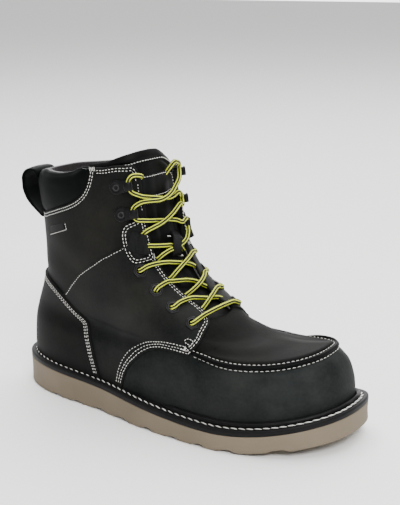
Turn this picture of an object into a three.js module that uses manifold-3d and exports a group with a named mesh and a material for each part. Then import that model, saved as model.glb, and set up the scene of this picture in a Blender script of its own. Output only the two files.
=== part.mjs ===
// Moc toe work boot, right foot, lace-up, six-inch shaft, wedge sole.
// Millimetres. +X points to the toe, +Y to the medial (inner) side, +Z up.
// Inside this file lengths are measured from the middle of the sole on the
// heel axis at floor level; the whole group is shifted at the end so that the
// origin is the bottom centre of the bounding box.
import * as THREE from 'three';
import { mergeVertices } from 'three/addons/utils/BufferGeometryUtils.js';
import Module from 'manifold-3d';

const wasm = await Module();
wasm.setup();

// ---------------------------------------------------------------- sizes
const WALL = 2.4;             // leather with its lining
const GAP = 0.35;             // clearance between neighbouring pieces
const WELT_H = 4.6;           // thickness of the welt strip
const RIB_H = 3.6;            // storm rib standing on the welt
const RIB_W = 4.2;            // width of the rib, from the upper outwards
const RIB_FROM_X = 12;        // the rib runs round the forepart from here
const INSOLE_H = 4.0;         // insole board
const COUNTER_T = 1.6;        // leather of the heel counter overlay
const MOC_RIDGE = 1.8;        // height of the raised seam round the toe
const WAIST_X = -60, WAIST_W = 45;   // where the waist is narrowest, its length
const THROAT_T = 6.0;         // row where the throat opening starts
const THROAT_PHI = 164;       // its half opening, degrees, at that row
const WARP_PHI = 120;         // columns in front of this follow the facing edge
const MOC_FROM = 87, MOC_TO = 262;   // the raised seam runs between these angles
const EYELET_R = 5.6, EYELET_HOLE = 2.5, EYELET_T = 1.2;
const HOOK_PLATE_R = 5.6, HOOK_T = 1.2, HOOK_W = 5.5;
const LACE_D = 4.0;           // round lace
const LACE_LIFT = 3.0;        // lace axis above the upper's outer face
const LOOP_T = 1.6;           // webbing thickness
const PULL_W = 25, PULL_T = 2.2;     // pull loop webbing
const TREAD_PITCH = 21.5, TREAD_DEPTH = 2.8, TREAD_NOTCH = 6, TREAD_LUG = 8;
const TREAD_FROM = -131, TREAD_COUNT = 8;

// Sections of the boot from the feather line (row 0) to above the collar (row 11).
// xb, zb: back point; xf, zf: front point; zs: lift of the sides;
// wl, wm: lateral and medial half widths; xm: widest point;
// nb, nf: roundness behind and in front of it; yf: inward swing of the front;
// kl, km: how much the waist draws in on each side.
const ROW = { t: 0, xb: 1, zb: 2, xf: 3, zf: 4, zs: 5, wl: 6, wm: 7, xm: 8, nb: 9, nf: 10, yf: 11, kl: 12, km: 13 };
const SECTIONS = [
  //  t     xb     zb     xf     zf    zs    wl    wm    xm    nb    nf    yf   kl   km
  [0.0, -147.3, 31.4, 144.2, 30.2, -3.9, 47.8, 42.3, 47.3, 2.41, 2.70, 17.4, .13, .20],
  [1.0, -148.4, 41.5, 143.4, 41.8, -2.9, 48.0, 42.8, 50.8, 2.36, 2.69, 17.4, .12, .18],
  [2.0, -147.9, 56.7, 137.4, 58.8, -2.8, 45.9, 42.2, 56.2, 2.28, 2.73, 18.2, .11, .16],
  [3.0, -145.1, 71.8, 127.6, 68.5, -6.0, 40.6, 39.8, 61.8, 2.23, 2.77, 18.6, .10, .14],
  [3.5, -142.7, 78.8, 123.0, 72.2, -7.8, 40.0, 39.2, 43.4, 2.18, 2.70, 17.0, .09, .13],
  [4.0, -138.3, 89.0, 103.5, 71.0, -9.0, 40.5, 38.6, 17.0, 2.16, 2.45, 11.0, .07, .11],
  [5.0, -134.5, 105.0, 70.4, 72.4, -4.2, 41.1, 40.2, -9.0, 2.12, 2.30, 5.0, .04, .07],
  [6.0, -134.7, 121.0, 44.8, 84.5, -1.0, 40.3, 42.4, -24.0, 2.03, 2.36, 2.4, .02, .03],
  [7.0, -135.7, 139.0, 16.7, 101.3, 0.0, 39.2, 42.7, -35.8, 1.95, 2.34, 1.0, 0, 0],
  [8.0, -136.2, 159.0, -5.4, 130.5, 2.0, 37.9, 43.0, -43.0, 1.98, 2.36, 0.5, 0, 0],
  [9.0, -137.6, 176.5, -13.3, 163.0, 4.5, 36.8, 42.3, -45.5, 2.00, 2.48, 0.4, 0, 0],
  [10.0, -137.8, 185.5, -16.5, 204.0, 5.0, 35.4, 41.3, -47.4, 2.05, 2.50, 0.4, 0, 0],
  [11.0, -139.0, 200.0, -18.5, 226.0, 4.0, 35.0, 40.8, -48.5, 2.05, 2.50, 0.4, 0, 0],
];
// Height of the sole's upper face along the boot: x, z.
const SOLE_TOP = [[-156, 23.9], [-46, 20.0], [62, 13.6], [156, 28.0]];
// Floor clearance of the sole (toe spring and a small bevel at the heel): x, z.
const SOLE_BOTTOM = [[-156, 1.6], [-148, 0], [70, 0], [100, 1.4], [128, 4.6], [156, 10.0]];
// How far the sole's edge stands out from the upper round the boot: angle, mm.
const FLANGE = [[0, 6.7], [40, 7.0], [62, 7.0], [80, 8.6], [96, 10.0], [150, 10.0], [180, 9.8], [215, 9.5], [262, 9.0], [285, 7.6], [300, 6.6], [325, 6.5], [360, 6.7]];
// Top line of the upper and collar: angle, row.
const TOP_LINE = [[0, 10.0], [32, 10.03], [42, 9.89], [56, 9.82], [68, 9.9], [78, 10.1], [100, 10.1], [132, 10.03], [180, 10.0], [222, 9.72], [262, 9.76], [280, 9.82], [304, 9.84], [328, 9.98], [360, 10.0]];
// Lower edge of the padded collar panel: angle from the back, row.
const COLLAR_LINE = [[0, 7.60], [30, 7.71], [48, 8.10], [59, 8.40], [69, 8.72], [73, 8.96], [76.5, 9.24], [78.4, 9.5], [79.7, 9.75]];
// Front edges of the facings: row, angle.
const FACING_EDGE = [[6.0, 164], [6.5, 163.5], [7.0, 161], [7.5, 157.5], [8.0, 153.8], [8.5, 150.2], [9.0, 148.2], [9.5, 145.4], [9.8, 142.0], [10.05, 136.5]];
// Front edge of the heel counter: row, angle.
const COUNTER_EDGE = [[0.3, 62], [1.1, 59.4], [1.95, 56], [2.7, 53], [3.4, 50.6], [3.95, 47.5], [4.25, 40], [4.45, 30]];
// Top edge of the tongue: angle, row.
const TONGUE_TOP = [[78, 10.22], [100, 10.33], [135, 10.37], [160, 10.40], [172, 10.40], [182, 10.36], [190, 10.25], [202, 10.06], [216, 9.92], [236, 9.80], [282, 9.78]];
// Tongue: row, half angle, depth of its face under the upper's outer face, thickness.
const TONGUE = [[5.15, 24, 3.6, 2.4], [6.0, 30, 3.4, 2.8], [7.0, 42, 3.4, 3.2], [8.0, 60, 3.4, 3.8], [9.0, 80, 3.4, 4.6], [9.7, 96, 3.5, 6.5], [10.4, 102, 4.6, 3.6]];
// Eyelets and hooks on one facing: row, angle. Medial ones mirror the angle.
const EYELETS = [[5.81, 134.5], [6.40, 130.3], [7.01, 128.6], [7.49, 122.2]];
const HOOKS = { lower: [8.85, 113.2, 9.0, 139], upper: [9.50, 109.2, 9.55, 134.5] };

// ---------------------------------------------------------------- helpers
const rad = (d) => (d * Math.PI) / 180;
const lerp = (a, b, u) => a + (b - a) * u;

// Monotone cubic through [x, y] pairs.
function curve(pairs) {
  const n = pairs.length;
  const X = pairs.map((p) => p[0]), Y = pairs.map((p) => p[1]);
  const h = [], d = [], m = new Array(n).fill(0);
  for (let i = 0; i < n - 1; i++) { h.push(X[i + 1] - X[i]); d.push((Y[i + 1] - Y[i]) / h[i]); }
  const end = (h0, h1, d0, d1) => {
    const v = ((2 * h0 + h1) * d0 - h0 * d1) / (h0 + h1);
    if (v * d0 <= 0) return 0;
    if (d0 * d1 <= 0 && Math.abs(v) > 3 * Math.abs(d0)) return 3 * d0;
    return v;
  };
  if (n > 2) {
    for (let i = 1; i < n - 1; i++) {
      if (d[i - 1] * d[i] > 0) {
        const w1 = 2 * h[i] + h[i - 1], w2 = h[i] + 2 * h[i - 1];
        m[i] = (w1 + w2) / (w1 / d[i - 1] + w2 / d[i]);
      }
    }
    m[0] = end(h[0], h[1], d[0], d[1]);
    m[n - 1] = end(h[n - 2], h[n - 3], d[n - 2], d[n - 3]);
  } else { m[0] = d[0]; m[1] = d[0]; }
  return (x) => {
    const q = Math.min(Math.max(x, X[0]), X[n - 1]);
    let k = 0;
    while (k < n - 2 && q >= X[k + 1]) k++;
    const u = (q - X[k]) / h[k];
    return (1 + 2 * u) * (1 - u) ** 2 * Y[k] + u * (1 - u) ** 2 * h[k] * m[k]
      + u * u * (3 - 2 * u) * Y[k + 1] + u * u * (u - 1) * h[k] * m[k + 1];
  };
}
// Straight lines through [x, y] pairs.
function line(pairs) {
  return (x) => {
    const q = Math.min(Math.max(x, pairs[0][0]), pairs[pairs.length - 1][0]);
    let k = 0;
    while (k < pairs.length - 2 && q >= pairs[k + 1][0]) k++;
    return lerp(pairs[k][1], pairs[k + 1][1], (q - pairs[k][0]) / (pairs[k + 1][0] - pairs[k][0]));
  };
}
const sec = {};
for (const key of Object.keys(ROW)) if (key !== 't') sec[key] = curve(SECTIONS.map((r) => [r[0], r[ROW[key]]]));
const soleTop = curve(SOLE_TOP), soleBottom = curve(SOLE_BOTTOM), flange = curve(FLANGE);
const topLine = line(TOP_LINE), collarLine = line(COLLAR_LINE), facingEdge = line(FACING_EDGE);
const counterEdge = line(COUNTER_EDGE), tongueTop = line(TONGUE_TOP);

// The boot's outer face: row t, angle phi (0 back, 90 lateral, 180 toe), in degrees.
function face(t, phiDeg) {
  const phi = rad(phiDeg), c = Math.cos(phi), s = Math.sin(phi);
  const n = c > 0 ? sec.nb(t) : sec.nf(t);
  const xe = Math.abs(c) ** (2 / n), ye = Math.abs(s) ** (2 / n);
  const xm = sec.xm(t);
  const x = c > 0 ? xm - (xm - sec.xb(t)) * xe : xm + (sec.xf(t) - xm) * xe;
  const fr = c < 0 ? xe : 0;
  const w = s > 0 ? -sec.wl(t) : sec.wm(t), k = s > 0 ? sec.kl(t) : sec.km(t);
  const y = sec.yf(t) * fr * fr + w * ye * (1 - k * Math.exp(-(((x - WAIST_X) / WAIST_W) ** 2)));
  const tt = Math.max(t, 1);
  let z = sec.zb(tt) * (1 + c) / 2 + sec.zf(tt) * (1 - c) / 2 + sec.zs(tt) * s * s;
  if (t < 1) { const z0 = soleTop(x) + 0.5; z = z0 + (z - z0) * t; }
  return new THREE.Vector3(x, y, z);
}
function normal(t, phi) {
  const e = 0.01, f = 0.3;
  const a = face(t, phi + f).sub(face(t, phi - f));
  const b = face(Math.min(t + e, 11), phi).sub(face(Math.max(t - e, 0), phi));
  return a.cross(b).normalize();
}
function offset(t, phi, d) {
  return face(t, phi).addScaledVector(normal(t, phi), d);
}
// Raised moc seam: a smooth ridge on row 3 round the front of the boot.
function mocRise(t, phi) {
  const a = Math.min(Math.max((phi - MOC_FROM) / 8, 0), 1) * Math.min(Math.max((MOC_TO - phi) / 8, 0), 1);
  return MOC_RIDGE * a * Math.max(0, 1 - Math.abs(t - 3) / 0.16);
}

// A closed skin between an outer and an inner grid. Cells where mask is false
// are left open, and every free edge gets a wall.
function skin(nI, nJ, outer, inner, wrap, mask = () => true) {
  const cols = wrap ? nJ : nJ + 1;
  const pos = [], idx = [], use = new Map();
  const key = (side, i, j) => (side * (nI + 1) + i) * cols + (wrap ? ((j % nJ) + nJ) % nJ : j);
  const vert = (side, i, j) => {
    const k = key(side, i, j);
    if (!use.has(k)) {
      const p = (side ? inner : outer)(i, wrap ? ((j % nJ) + nJ) % nJ : j);
      use.set(k, pos.length / 3);
      pos.push(p.x, p.y, p.z);
    }
    return use.get(k);
  };
  const quad = (a, b, c, d) => idx.push(a, b, c, a, c, d);
  const solid = (i, j) => {
    if (i < 0 || i >= nI) return false;
    if (!wrap && (j < 0 || j >= nJ)) return false;
    return mask(i, wrap ? ((j % nJ) + nJ) % nJ : j);
  };
  for (let i = 0; i < nI; i++) {
    for (let j = 0; j < nJ; j++) {
      if (!solid(i, j)) continue;
      quad(vert(0, i, j), vert(0, i, j + 1), vert(0, i + 1, j + 1), vert(0, i + 1, j));
      quad(vert(1, i, j), vert(1, i + 1, j), vert(1, i + 1, j + 1), vert(1, i, j + 1));
      if (!solid(i - 1, j)) quad(vert(0, i, j), vert(1, i, j), vert(1, i, j + 1), vert(0, i, j + 1));
      if (!solid(i + 1, j)) quad(vert(0, i + 1, j), vert(0, i + 1, j + 1), vert(1, i + 1, j + 1), vert(1, i + 1, j));
      if (!solid(i, j - 1)) quad(vert(0, i, j), vert(0, i + 1, j), vert(1, i + 1, j), vert(1, i, j));
      if (!solid(i, j + 1)) quad(vert(0, i, j + 1), vert(1, i, j + 1), vert(1, i + 1, j + 1), vert(0, i + 1, j + 1));
    }
  }
  return closed(pos, idx);
}
// Makes a geometry from positions and triangles, with its faces pointing out.
function closed(pos, idx) {
  let vol = 0;
  for (let k = 0; k < idx.length; k += 3) {
    const [a, b, c] = [idx[k] * 3, idx[k + 1] * 3, idx[k + 2] * 3];
    vol += pos[a] * (pos[b + 1] * pos[c + 2] - pos[b + 2] * pos[c + 1])
      - pos[a + 1] * (pos[b] * pos[c + 2] - pos[b + 2] * pos[c])
      + pos[a + 2] * (pos[b] * pos[c + 1] - pos[b + 1] * pos[c]);
  }
  if (vol < 0) for (let k = 0; k < idx.length; k += 3) [idx[k + 1], idx[k + 2]] = [idx[k + 2], idx[k + 1]];
  const g = new THREE.BufferGeometry();
  g.setAttribute('position', new THREE.Float32BufferAttribute(pos, 3));
  g.setIndex(idx);
  g.computeVertexNormals();
  return g;
}
function toSolid(geometry) {
  let g = geometry.clone();
  for (const name of ['normal', 'uv', 'uv1']) if (g.getAttribute(name)) g.deleteAttribute(name);
  g = mergeVertices(g, 1e-4);
  return new wasm.Manifold(new wasm.Mesh({
    numProp: 3,
    vertProperties: Float32Array.from(g.getAttribute('position').array),
    triVerts: Uint32Array.from(g.getIndex().array),
  }));
}
function fromSolid(solid) {
  const m = solid.getMesh();
  const g = new THREE.BufferGeometry();
  const p = [];
  for (let i = 0; i < m.vertProperties.length / m.numProp; i++) {
    p.push(m.vertProperties[i * m.numProp], m.vertProperties[i * m.numProp + 1], m.vertProperties[i * m.numProp + 2]);
  }
  g.setAttribute('position', new THREE.Float32BufferAttribute(p, 3));
  g.setIndex(Array.from(m.triVerts));
  g.computeVertexNormals();
  return g;
}
// Upright prism over a plan outline, and a prism along Y over a side outline.
function planPrism(points, z0 = -20, z1 = 120) {
  const g = new THREE.ExtrudeGeometry(new THREE.Shape(points), { depth: z1 - z0, bevelEnabled: false });
  return g.translate(0, 0, z0);
}
function sidePrism(points, y0 = -90, y1 = 90) {
  const g = new THREE.ExtrudeGeometry(new THREE.Shape(points), { depth: y1 - y0, bevelEnabled: false });
  return g.rotateX(Math.PI / 2).translate(0, y1, 0);
}
// Tube along a path through the given points.
function cord(points, d, sides, steps) {
  const ring = [];
  for (let k = 0; k < sides; k++) ring.push(new THREE.Vector2(Math.cos((k * 2 * Math.PI) / sides) * d / 2, Math.sin((k * 2 * Math.PI) / sides) * d / 2));
  return new THREE.ExtrudeGeometry(new THREE.Shape(ring), { steps, bevelEnabled: false, extrudePath: new THREE.CatmullRomCurve3(points) });
}
const mats = {
  leather: { color: 0x2b2b2a, roughness: 0.55, metalness: 0 },
  collar: { color: 0x1d1f1e, roughness: 0.5, metalness: 0 },
  sole: { color: 0x857b6e, roughness: 0.8, metalness: 0 },
  welt: { color: 0x1a1a1a, roughness: 0.5, metalness: 0 },
  insole: { color: 0x6d5a45, roughness: 0.9, metalness: 0 },
  webbing: { color: 0x161616, roughness: 0.9, metalness: 0 },
  metal: { color: 0x3a3b3d, roughness: 0.35, metalness: 0.9 },
  lace: { color: 0xcfc76a, roughness: 0.85, metalness: 0 },
};
const group = new THREE.Group();
function add(name, geometry, mat) {
  const mesh = new THREE.Mesh(geometry, new THREE.MeshStandardMaterial({ ...mats[mat] }));
  mesh.name = name;
  group.add(mesh);
  return mesh;
}

// ---------------------------------------------------------------- sole
// Plan outline of the boot at the feather line, moved out by d(phi).
function outline(t, d, count = 60) {
  const pts = [];
  for (let k = 0; k < count; k++) {
    const phi = (k * 360) / count;
    const p = face(t, phi), a = face(t, phi + 0.5).sub(face(t, phi - 0.5));
    const n = new THREE.Vector2(a.y, -a.x).normalize();
    const out = n.x * (p.x - 0) + n.y * (p.y - 5) >= 0 ? 1 : -1;
    const dd = (typeof d === 'function' ? d(phi) : d) * out;
    pts.push(new THREE.Vector2(p.x + n.x * dd, p.y + n.y * dd));
  }
  return pts;
}
function band(lower, upper, x0, x1, count) {
  const pts = [];
  for (let k = 0; k <= count; k++) { const x = lerp(x0, x1, k / count); pts.push(new THREE.Vector2(x, lower(x))); }
  for (let k = count; k >= 0; k--) { const x = lerp(x0, x1, k / count); pts.push(new THREE.Vector2(x, upper(x))); }
  return pts;
}
// Side profile of the sole: level lugs with a short arched notch and a long
// easy slope back down between them, smooth under the forefoot.
function soleProfile() {
  const pts = [new THREE.Vector2(-158, soleBottom(-158)), new THREE.Vector2(-149, 0)];
  for (let k = 0; k < TREAD_COUNT; k++) {
    const x = TREAD_FROM + k * TREAD_PITCH;
    pts.push(new THREE.Vector2(x, 0));
    pts.push(new THREE.Vector2(x + 1.2, TREAD_DEPTH * 0.75));
    pts.push(new THREE.Vector2(x + TREAD_NOTCH * 0.5, TREAD_DEPTH));
    pts.push(new THREE.Vector2(x + TREAD_NOTCH, TREAD_DEPTH * 0.8));
    pts.push(new THREE.Vector2(x + TREAD_PITCH - TREAD_LUG, 0.25));
    pts.push(new THREE.Vector2(x + TREAD_PITCH - TREAD_LUG + 2, 0));
  }
  for (const x of [70, 84, 98, 112, 126, 140, 158]) pts.push(new THREE.Vector2(x, soleBottom(x)));
  for (let k = 0; k <= 16; k++) { const x = lerp(158, -158, k / 16); pts.push(new THREE.Vector2(x, soleTop(x))); }
  return pts;
}
const soleSolid = toSolid(planPrism(outline(0.4, (p) => flange(p)))).intersect(toSolid(sidePrism(soleProfile())));
add('outsole', fromSolid(soleSolid), 'sole');

const weltOuter = toSolid(planPrism(outline(0.4, (p) => flange(p) - 0.4)));
const weltHole = toSolid(planPrism(outline(0.3, 0.55)));
const weltBand = toSolid(sidePrism(band((x) => soleTop(x) + GAP, (x) => soleTop(x) + GAP + WELT_H, -158, 158, 16)));
const ribOuter = toSolid(planPrism(outline(0.3, 0.55 + RIB_W)));
const ribBand = toSolid(sidePrism(band((x) => soleTop(x) + GAP + WELT_H - 1, (x) => soleTop(x) + GAP + WELT_H + RIB_H * 0.7, RIB_FROM_X, 158, 10)));
const weltSolid = weltOuter.intersect(weltBand).add(ribOuter.intersect(ribBand)).subtract(weltHole);
add('welt', fromSolid(weltSolid), 'welt');

const insolePlan = toSolid(planPrism(outline(0.25, -(WALL + 1.3), 48)));
const insoleBand = toSolid(sidePrism(band((x) => soleTop(x) + GAP + 0.25, (x) => soleTop(x) + GAP + INSOLE_H, -158, 158, 16)));
add('insole', fromSolid(insolePlan.intersect(insoleBand)), 'insole');

// ---------------------------------------------------------------- upper
const UPPER_ROWS = [0, 0.35, 1, 1.6, 2.2, 2.7, 2.9, 3.1, 3.3, 3.8, 4.4, 5.0, 5.5, 6.0, 6.5, 7.0, 7.5, 8.0, 8.5, 9.0, 9.5, 10.05];
const HALF_COLS = [0, 8, 16, 24, 32, 41, 50, 58, 65, 71, 76, 79.4, 80.6, 88, 96, 104, 112, 120, 128, 137, 146, 155, 164, 172];
const COLS = [...HALF_COLS, 180, ...HALF_COLS.slice(1).reverse().map((a) => 360 - a)];
const THROAT_ROW = UPPER_ROWS.indexOf(THROAT_T);
const JL = COLS.indexOf(THROAT_PHI), JR = COLS.indexOf(360 - THROAT_PHI);
const ROW_END = UPPER_ROWS[UPPER_ROWS.length - 1];
const fromBack = (phi) => (phi > 180 ? 360 - phi : phi);
// Row of the upper's own top edge: the collar panel takes over at the back.
function upperTop(phi) {
  return fromBack(phi) < 80 ? collarLine(fromBack(phi)) - 0.03 : topLine(phi);
}
function upperPoint(i, j, depth) {
  const base = COLS[j];
  let t = UPPER_ROWS[i];
  const rise = depth > 0 ? 0 : mocRise(t, base);
  if (t > THROAT_T) t = THROAT_T + (t - THROAT_T) * (upperTop(base) - THROAT_T) / (ROW_END - THROAT_T);
  let phi = base;
  const h = fromBack(base);
  if (h > WARP_PHI && t > THROAT_T && h <= THROAT_PHI) {
    const warped = WARP_PHI + (h - WARP_PHI) * (facingEdge(t) - WARP_PHI) / (THROAT_PHI - WARP_PHI);
    phi = base > 180 ? 360 - warped : warped;
  }
  return offset(t, phi, rise - depth);
}
add('upper', skin(UPPER_ROWS.length - 1, COLS.length,
  (i, j) => upperPoint(i, j, 0), (i, j) => upperPoint(i, j, WALL), true,
  (i, j) => !(i >= THROAT_ROW && j >= JL && j < JR)), 'leather');

// Heel counter: an overlay lying on the upper's own face.
const COUNTER_ROWS = [0.42, 1.1, 1.9, 2.7, 3.4, 3.95, 4.25, 4.45], COUNTER_HALF = 8;
const counterPoint = (d) => (i, j) => {
  const t = COUNTER_ROWS[i], u = j / COUNTER_HALF - 1;
  const a = counterEdge(t) * Math.sign(u) * Math.abs(u);
  return offset(t, a, d);
};
add('heel_counter', skin(COUNTER_ROWS.length - 1, COUNTER_HALF * 2, counterPoint(GAP + COUNTER_T), counterPoint(GAP + 0.35), false), 'leather');

// Padded collar panel round the back of the shaft.
const COLLAR_HALF = [0, 12, 24, 36, 46, 55, 62, 68, 73, 76.5, 78.8];
const COLLAR_COLS = [...COLLAR_HALF.slice(1).reverse().map((a) => -a), ...COLLAR_HALF];
const COLLAR_OUT = [0.3, 1.1, 1.4, 1.2, -1.6], COLLAR_IN = [2.6, 5.5, 7.0, 6.8, 4.2];
const collarPoint = (side) => (i, j) => {
  const phi = COLLAR_COLS[j], h = Math.abs(phi);
  const lo = collarLine(h) + 0.02, hi = topLine(phi < 0 ? phi + 360 : phi);
  const taper = Math.min(1, (79.6 - h) / 8 + 0.25);
  const depth = side ? -2.4 - (COLLAR_IN[i] - 2.4) * taper : COLLAR_OUT[i];
  return offset(lerp(lo, hi, i / 4), phi, depth);
};
add('collar', skin(4, COLLAR_COLS.length - 1, collarPoint(0), collarPoint(1), false), 'collar');

// Tongue under the facings, its top standing above them.
const TONGUE_ROWS = [5.15, 5.7, 6.3, 6.9, 7.5, 8.1, 8.7, 9.3, 9.8, 10.15, 10.4], TONGUE_HALF = 9;
const tongueCol = (k) => line(TONGUE.map((r) => [r[0], r[k]]));
const tongueHalf = tongueCol(1), tongueDepth = tongueCol(2), tongueThick = tongueCol(3);
const tonguePoint = (side) => (i, j) => {
  const base = TONGUE_ROWS[i], u = j / TONGUE_HALF - 1;
  const phi = 180 + u * tongueHalf(base);
  const t = base <= 8.7 ? base : 8.7 + (base - 8.7) * (tongueTop(phi) - 8.7) / (10.4 - 8.7);
  return offset(t, phi, -tongueDepth(base) - (side ? tongueThick(base) : 0));
};
add('tongue', skin(TONGUE_ROWS.length - 1, TONGUE_HALF * 2, tonguePoint(0), tonguePoint(1), false), 'leather');

// ---------------------------------------------------------------- fittings
// Places a piece made in the XY plane on the boot's face: local Z outwards,
// local X along the rows towards the facing edge.
function seat(geometry, t, phi, lift) {
  const n = normal(t, phi), o = offset(t, phi, lift);
  const u = face(t, phi + (phi < 180 ? 0.5 : -0.5)).sub(face(t, phi)).normalize();
  const v = new THREE.Vector3().crossVectors(n, u).normalize();
  const w = new THREE.Vector3().crossVectors(v, n).normalize();
  return geometry.applyMatrix4(new THREE.Matrix4().makeBasis(w, v, n).setPosition(o));
}
const sides = [['lateral', (phi) => phi], ['medial', (phi) => 360 - phi]];
for (const [side, mirror] of sides) {
  EYELETS.forEach(([t, phi], k) => {
    const hex = [];
    for (let c = 0; c < 6; c++) hex.push(new THREE.Vector2(Math.cos((c * Math.PI) / 3) * EYELET_R, Math.sin((c * Math.PI) / 3) * EYELET_R));
    const shape = new THREE.Shape(hex);
    const hole = new THREE.Path();
    const n = 8, pts = [];
    for (let c = n; c >= 0; c--) pts.push(new THREE.Vector2(Math.cos((c * 2 * Math.PI) / n) * EYELET_HOLE, Math.sin((c * 2 * Math.PI) / n) * EYELET_HOLE));
    hole.setFromPoints(pts.slice(0, n));
    shape.holes.push(hole);
    const g = new THREE.ExtrudeGeometry(shape, { depth: EYELET_T, bevelEnabled: false });
    add(`eyelet_${side}_${k + 1}`, seat(g, t, mirror(phi), 0.75), 'metal');
  });
  // Speed hooks: a riveted plate with a strip that turns up over the facing.
  for (const [level, [t, phi, tTip, phiTip]] of Object.entries(HOOKS)) {
    const plate = toSolid(seat(new THREE.CylinderGeometry(HOOK_PLATE_R, HOOK_PLATE_R, HOOK_T, 10).rotateX(Math.PI / 2), t, mirror(phi), 0.85 + HOOK_T / 2));
    const path = [];
    for (let k = 0; k <= 4; k++) {
      const u = k / 4;
      path.push(offset(lerp(t, tTip, u), mirror(lerp(phi + 2, phiTip, u)), 1.5 + HOOK_T / 2 + 0.4 + 6.2 * u * u * u));
    }
    const strip = toSolid(strap(path, t, tTip, phi, phiTip, mirror));
    add(`hook_${side}_${level}`, fromSolid(plate.add(strip)), 'metal');
  }
}
// Flat strip of the hook, lofted along its path with its flat side to the leather.
function strap(path, t, tTip, phi, phiTip, mirror) {
  const n = path.length - 1;
  const across = path.map((p, k) => {
    const u = k / n, a = lerp(t, tTip, u), b = mirror(lerp(phi, phiTip, u));
    return face(Math.min(a + 0.05, 11), b).sub(face(a - 0.05, b)).normalize();
  });
  const outward = path.map((p, k) => {
    const along = (k < n ? path[k + 1].clone().sub(p) : p.clone().sub(path[k - 1])).normalize();
    return new THREE.Vector3().crossVectors(along, across[k]).normalize();
  });
  const out0 = normal(t, mirror(phi));
  if (outward[0].dot(out0) < 0) outward.forEach((v) => v.negate());
  const at = (k, a, b) => path[k].clone().addScaledVector(across[k], a * HOOK_W / 2).addScaledVector(outward[k], b * HOOK_T / 2);
  return skin(n, 1, (i, j) => at(i, j ? 1 : -1, 1), (i, j) => at(i, j ? 1 : -1, -1), false);
}

// Webbing loops on the facings and the lace keeper on the tongue: arched strips.
function arch(t0, t1, phi0, phi1, base, rise, thick, nj = 8) {
  const at = (d) => (i, j) => {
    const u = j / nj;
    const lift = base + rise * Math.sin(Math.PI * u) ** 0.7;
    return offset(lerp(t0, t1, i), lerp(phi0, phi1, u), lift + d);
  };
  return skin(1, nj, at(thick), at(0), false);
}
add('webbing_loop_lateral', arch(8.02, 8.5, 118, 143, 0.6, 5.4, LOOP_T), 'webbing');
add('webbing_loop_medial', arch(8.02, 8.5, 242, 217, 0.6, 5.4, LOOP_T), 'webbing');
add('lace_keeper', arch(7.93, 8.44, 176, 203, -2.3, 6.4, LOOP_T), 'webbing');

// Pull loop at the back of the collar.
const PULL = [[-142.6, 190.6], [-147.5, 191.4], [-152.6, 188.2], [-154.3, 181.0], [-153.6, 172.5], [-150.4, 163.5], [-146.3, 156.0], [-141.9, 149.5]];
{
  const pts = PULL.map(([x, z]) => new THREE.Vector2(x, z));
  const out = [], inn = [];
  pts.forEach((p, k) => {
    const a = pts[Math.max(k - 1, 0)], b = pts[Math.min(k + 1, pts.length - 1)];
    const d = b.clone().sub(a).normalize(), n = new THREE.Vector2(d.y, -d.x);
    out.push(p.clone().addScaledVector(n, -PULL_T / 2));
    inn.push(p.clone().addScaledVector(n, PULL_T / 2));
  });
  add('pull_loop', new THREE.BufferGeometry().copy(sidePrism([...out, ...inn.reverse()], -PULL_W / 2, PULL_W / 2)), 'webbing');
}

// ---------------------------------------------------------------- lace
// One run over the tongue from one facing to the other, drawn in rows and angles.
function run(t0, phi0, t1, phi1, lift = LACE_LIFT) {
  const pts = [];
  for (let k = 0; k <= 8; k++) {
    const u = k / 8;
    pts.push(offset(lerp(t0, t1, u), lerp(phi0, phi1, u), lift));
  }
  return cord(pts, LACE_D, 6, 8);
}
add('lace_bar', run(5.84, 144, 5.84, 216, LACE_LIFT + 0.4), 'lace');
const CROSSINGS = [
  // from row, angle  to row, angle of the lateral-to-medial run
  [6.05, 152, 6.38, 221],
  [6.62, 152, 6.98, 223],
  [7.14, 150, 7.40, 222],
  [7.62, 147, 7.72, 204],
  [8.62, 141, 8.98, 214],
  [9.13, 146, 9.48, 219],
];
CROSSINGS.forEach(([ta, pa, tb, pb], k) => {
  const a = toSolid(run(ta, pa, tb, pb)), b = toSolid(run(ta, 360 - pa, tb, 360 - pb));
  add(`lace_cross_${k + 1}`, fromSolid(a.add(b)), 'lace');
});

// ---------------------------------------------------------------- frame
group.updateMatrixWorld(true);
const box = new THREE.Box3().setFromObject(group, true);
group.position.set(-(box.min.x + box.max.x) / 2, -(box.min.y + box.max.y) / 2, -box.min.z);

export default group;
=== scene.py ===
# Moc toe work boot, right foot: the visual model, its materials, light and camera.
import math
import bpy
import numpy as np
from mathutils import Matrix, Vector
from mathutils.geometry import delaunay_2d_cdt


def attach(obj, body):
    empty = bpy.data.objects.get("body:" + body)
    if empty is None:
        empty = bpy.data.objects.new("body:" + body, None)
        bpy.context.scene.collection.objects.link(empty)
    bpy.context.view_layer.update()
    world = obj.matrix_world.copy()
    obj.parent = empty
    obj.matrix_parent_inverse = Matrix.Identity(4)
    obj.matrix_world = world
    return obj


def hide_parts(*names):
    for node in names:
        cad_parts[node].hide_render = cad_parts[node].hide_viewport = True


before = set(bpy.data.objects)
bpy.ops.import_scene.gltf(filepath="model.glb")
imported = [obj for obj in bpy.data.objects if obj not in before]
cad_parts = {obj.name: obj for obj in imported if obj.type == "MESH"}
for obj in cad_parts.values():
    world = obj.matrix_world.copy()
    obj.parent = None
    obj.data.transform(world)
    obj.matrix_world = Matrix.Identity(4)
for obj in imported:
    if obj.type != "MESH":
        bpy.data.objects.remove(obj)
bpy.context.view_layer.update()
RNG = np.random.default_rng(7)

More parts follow.
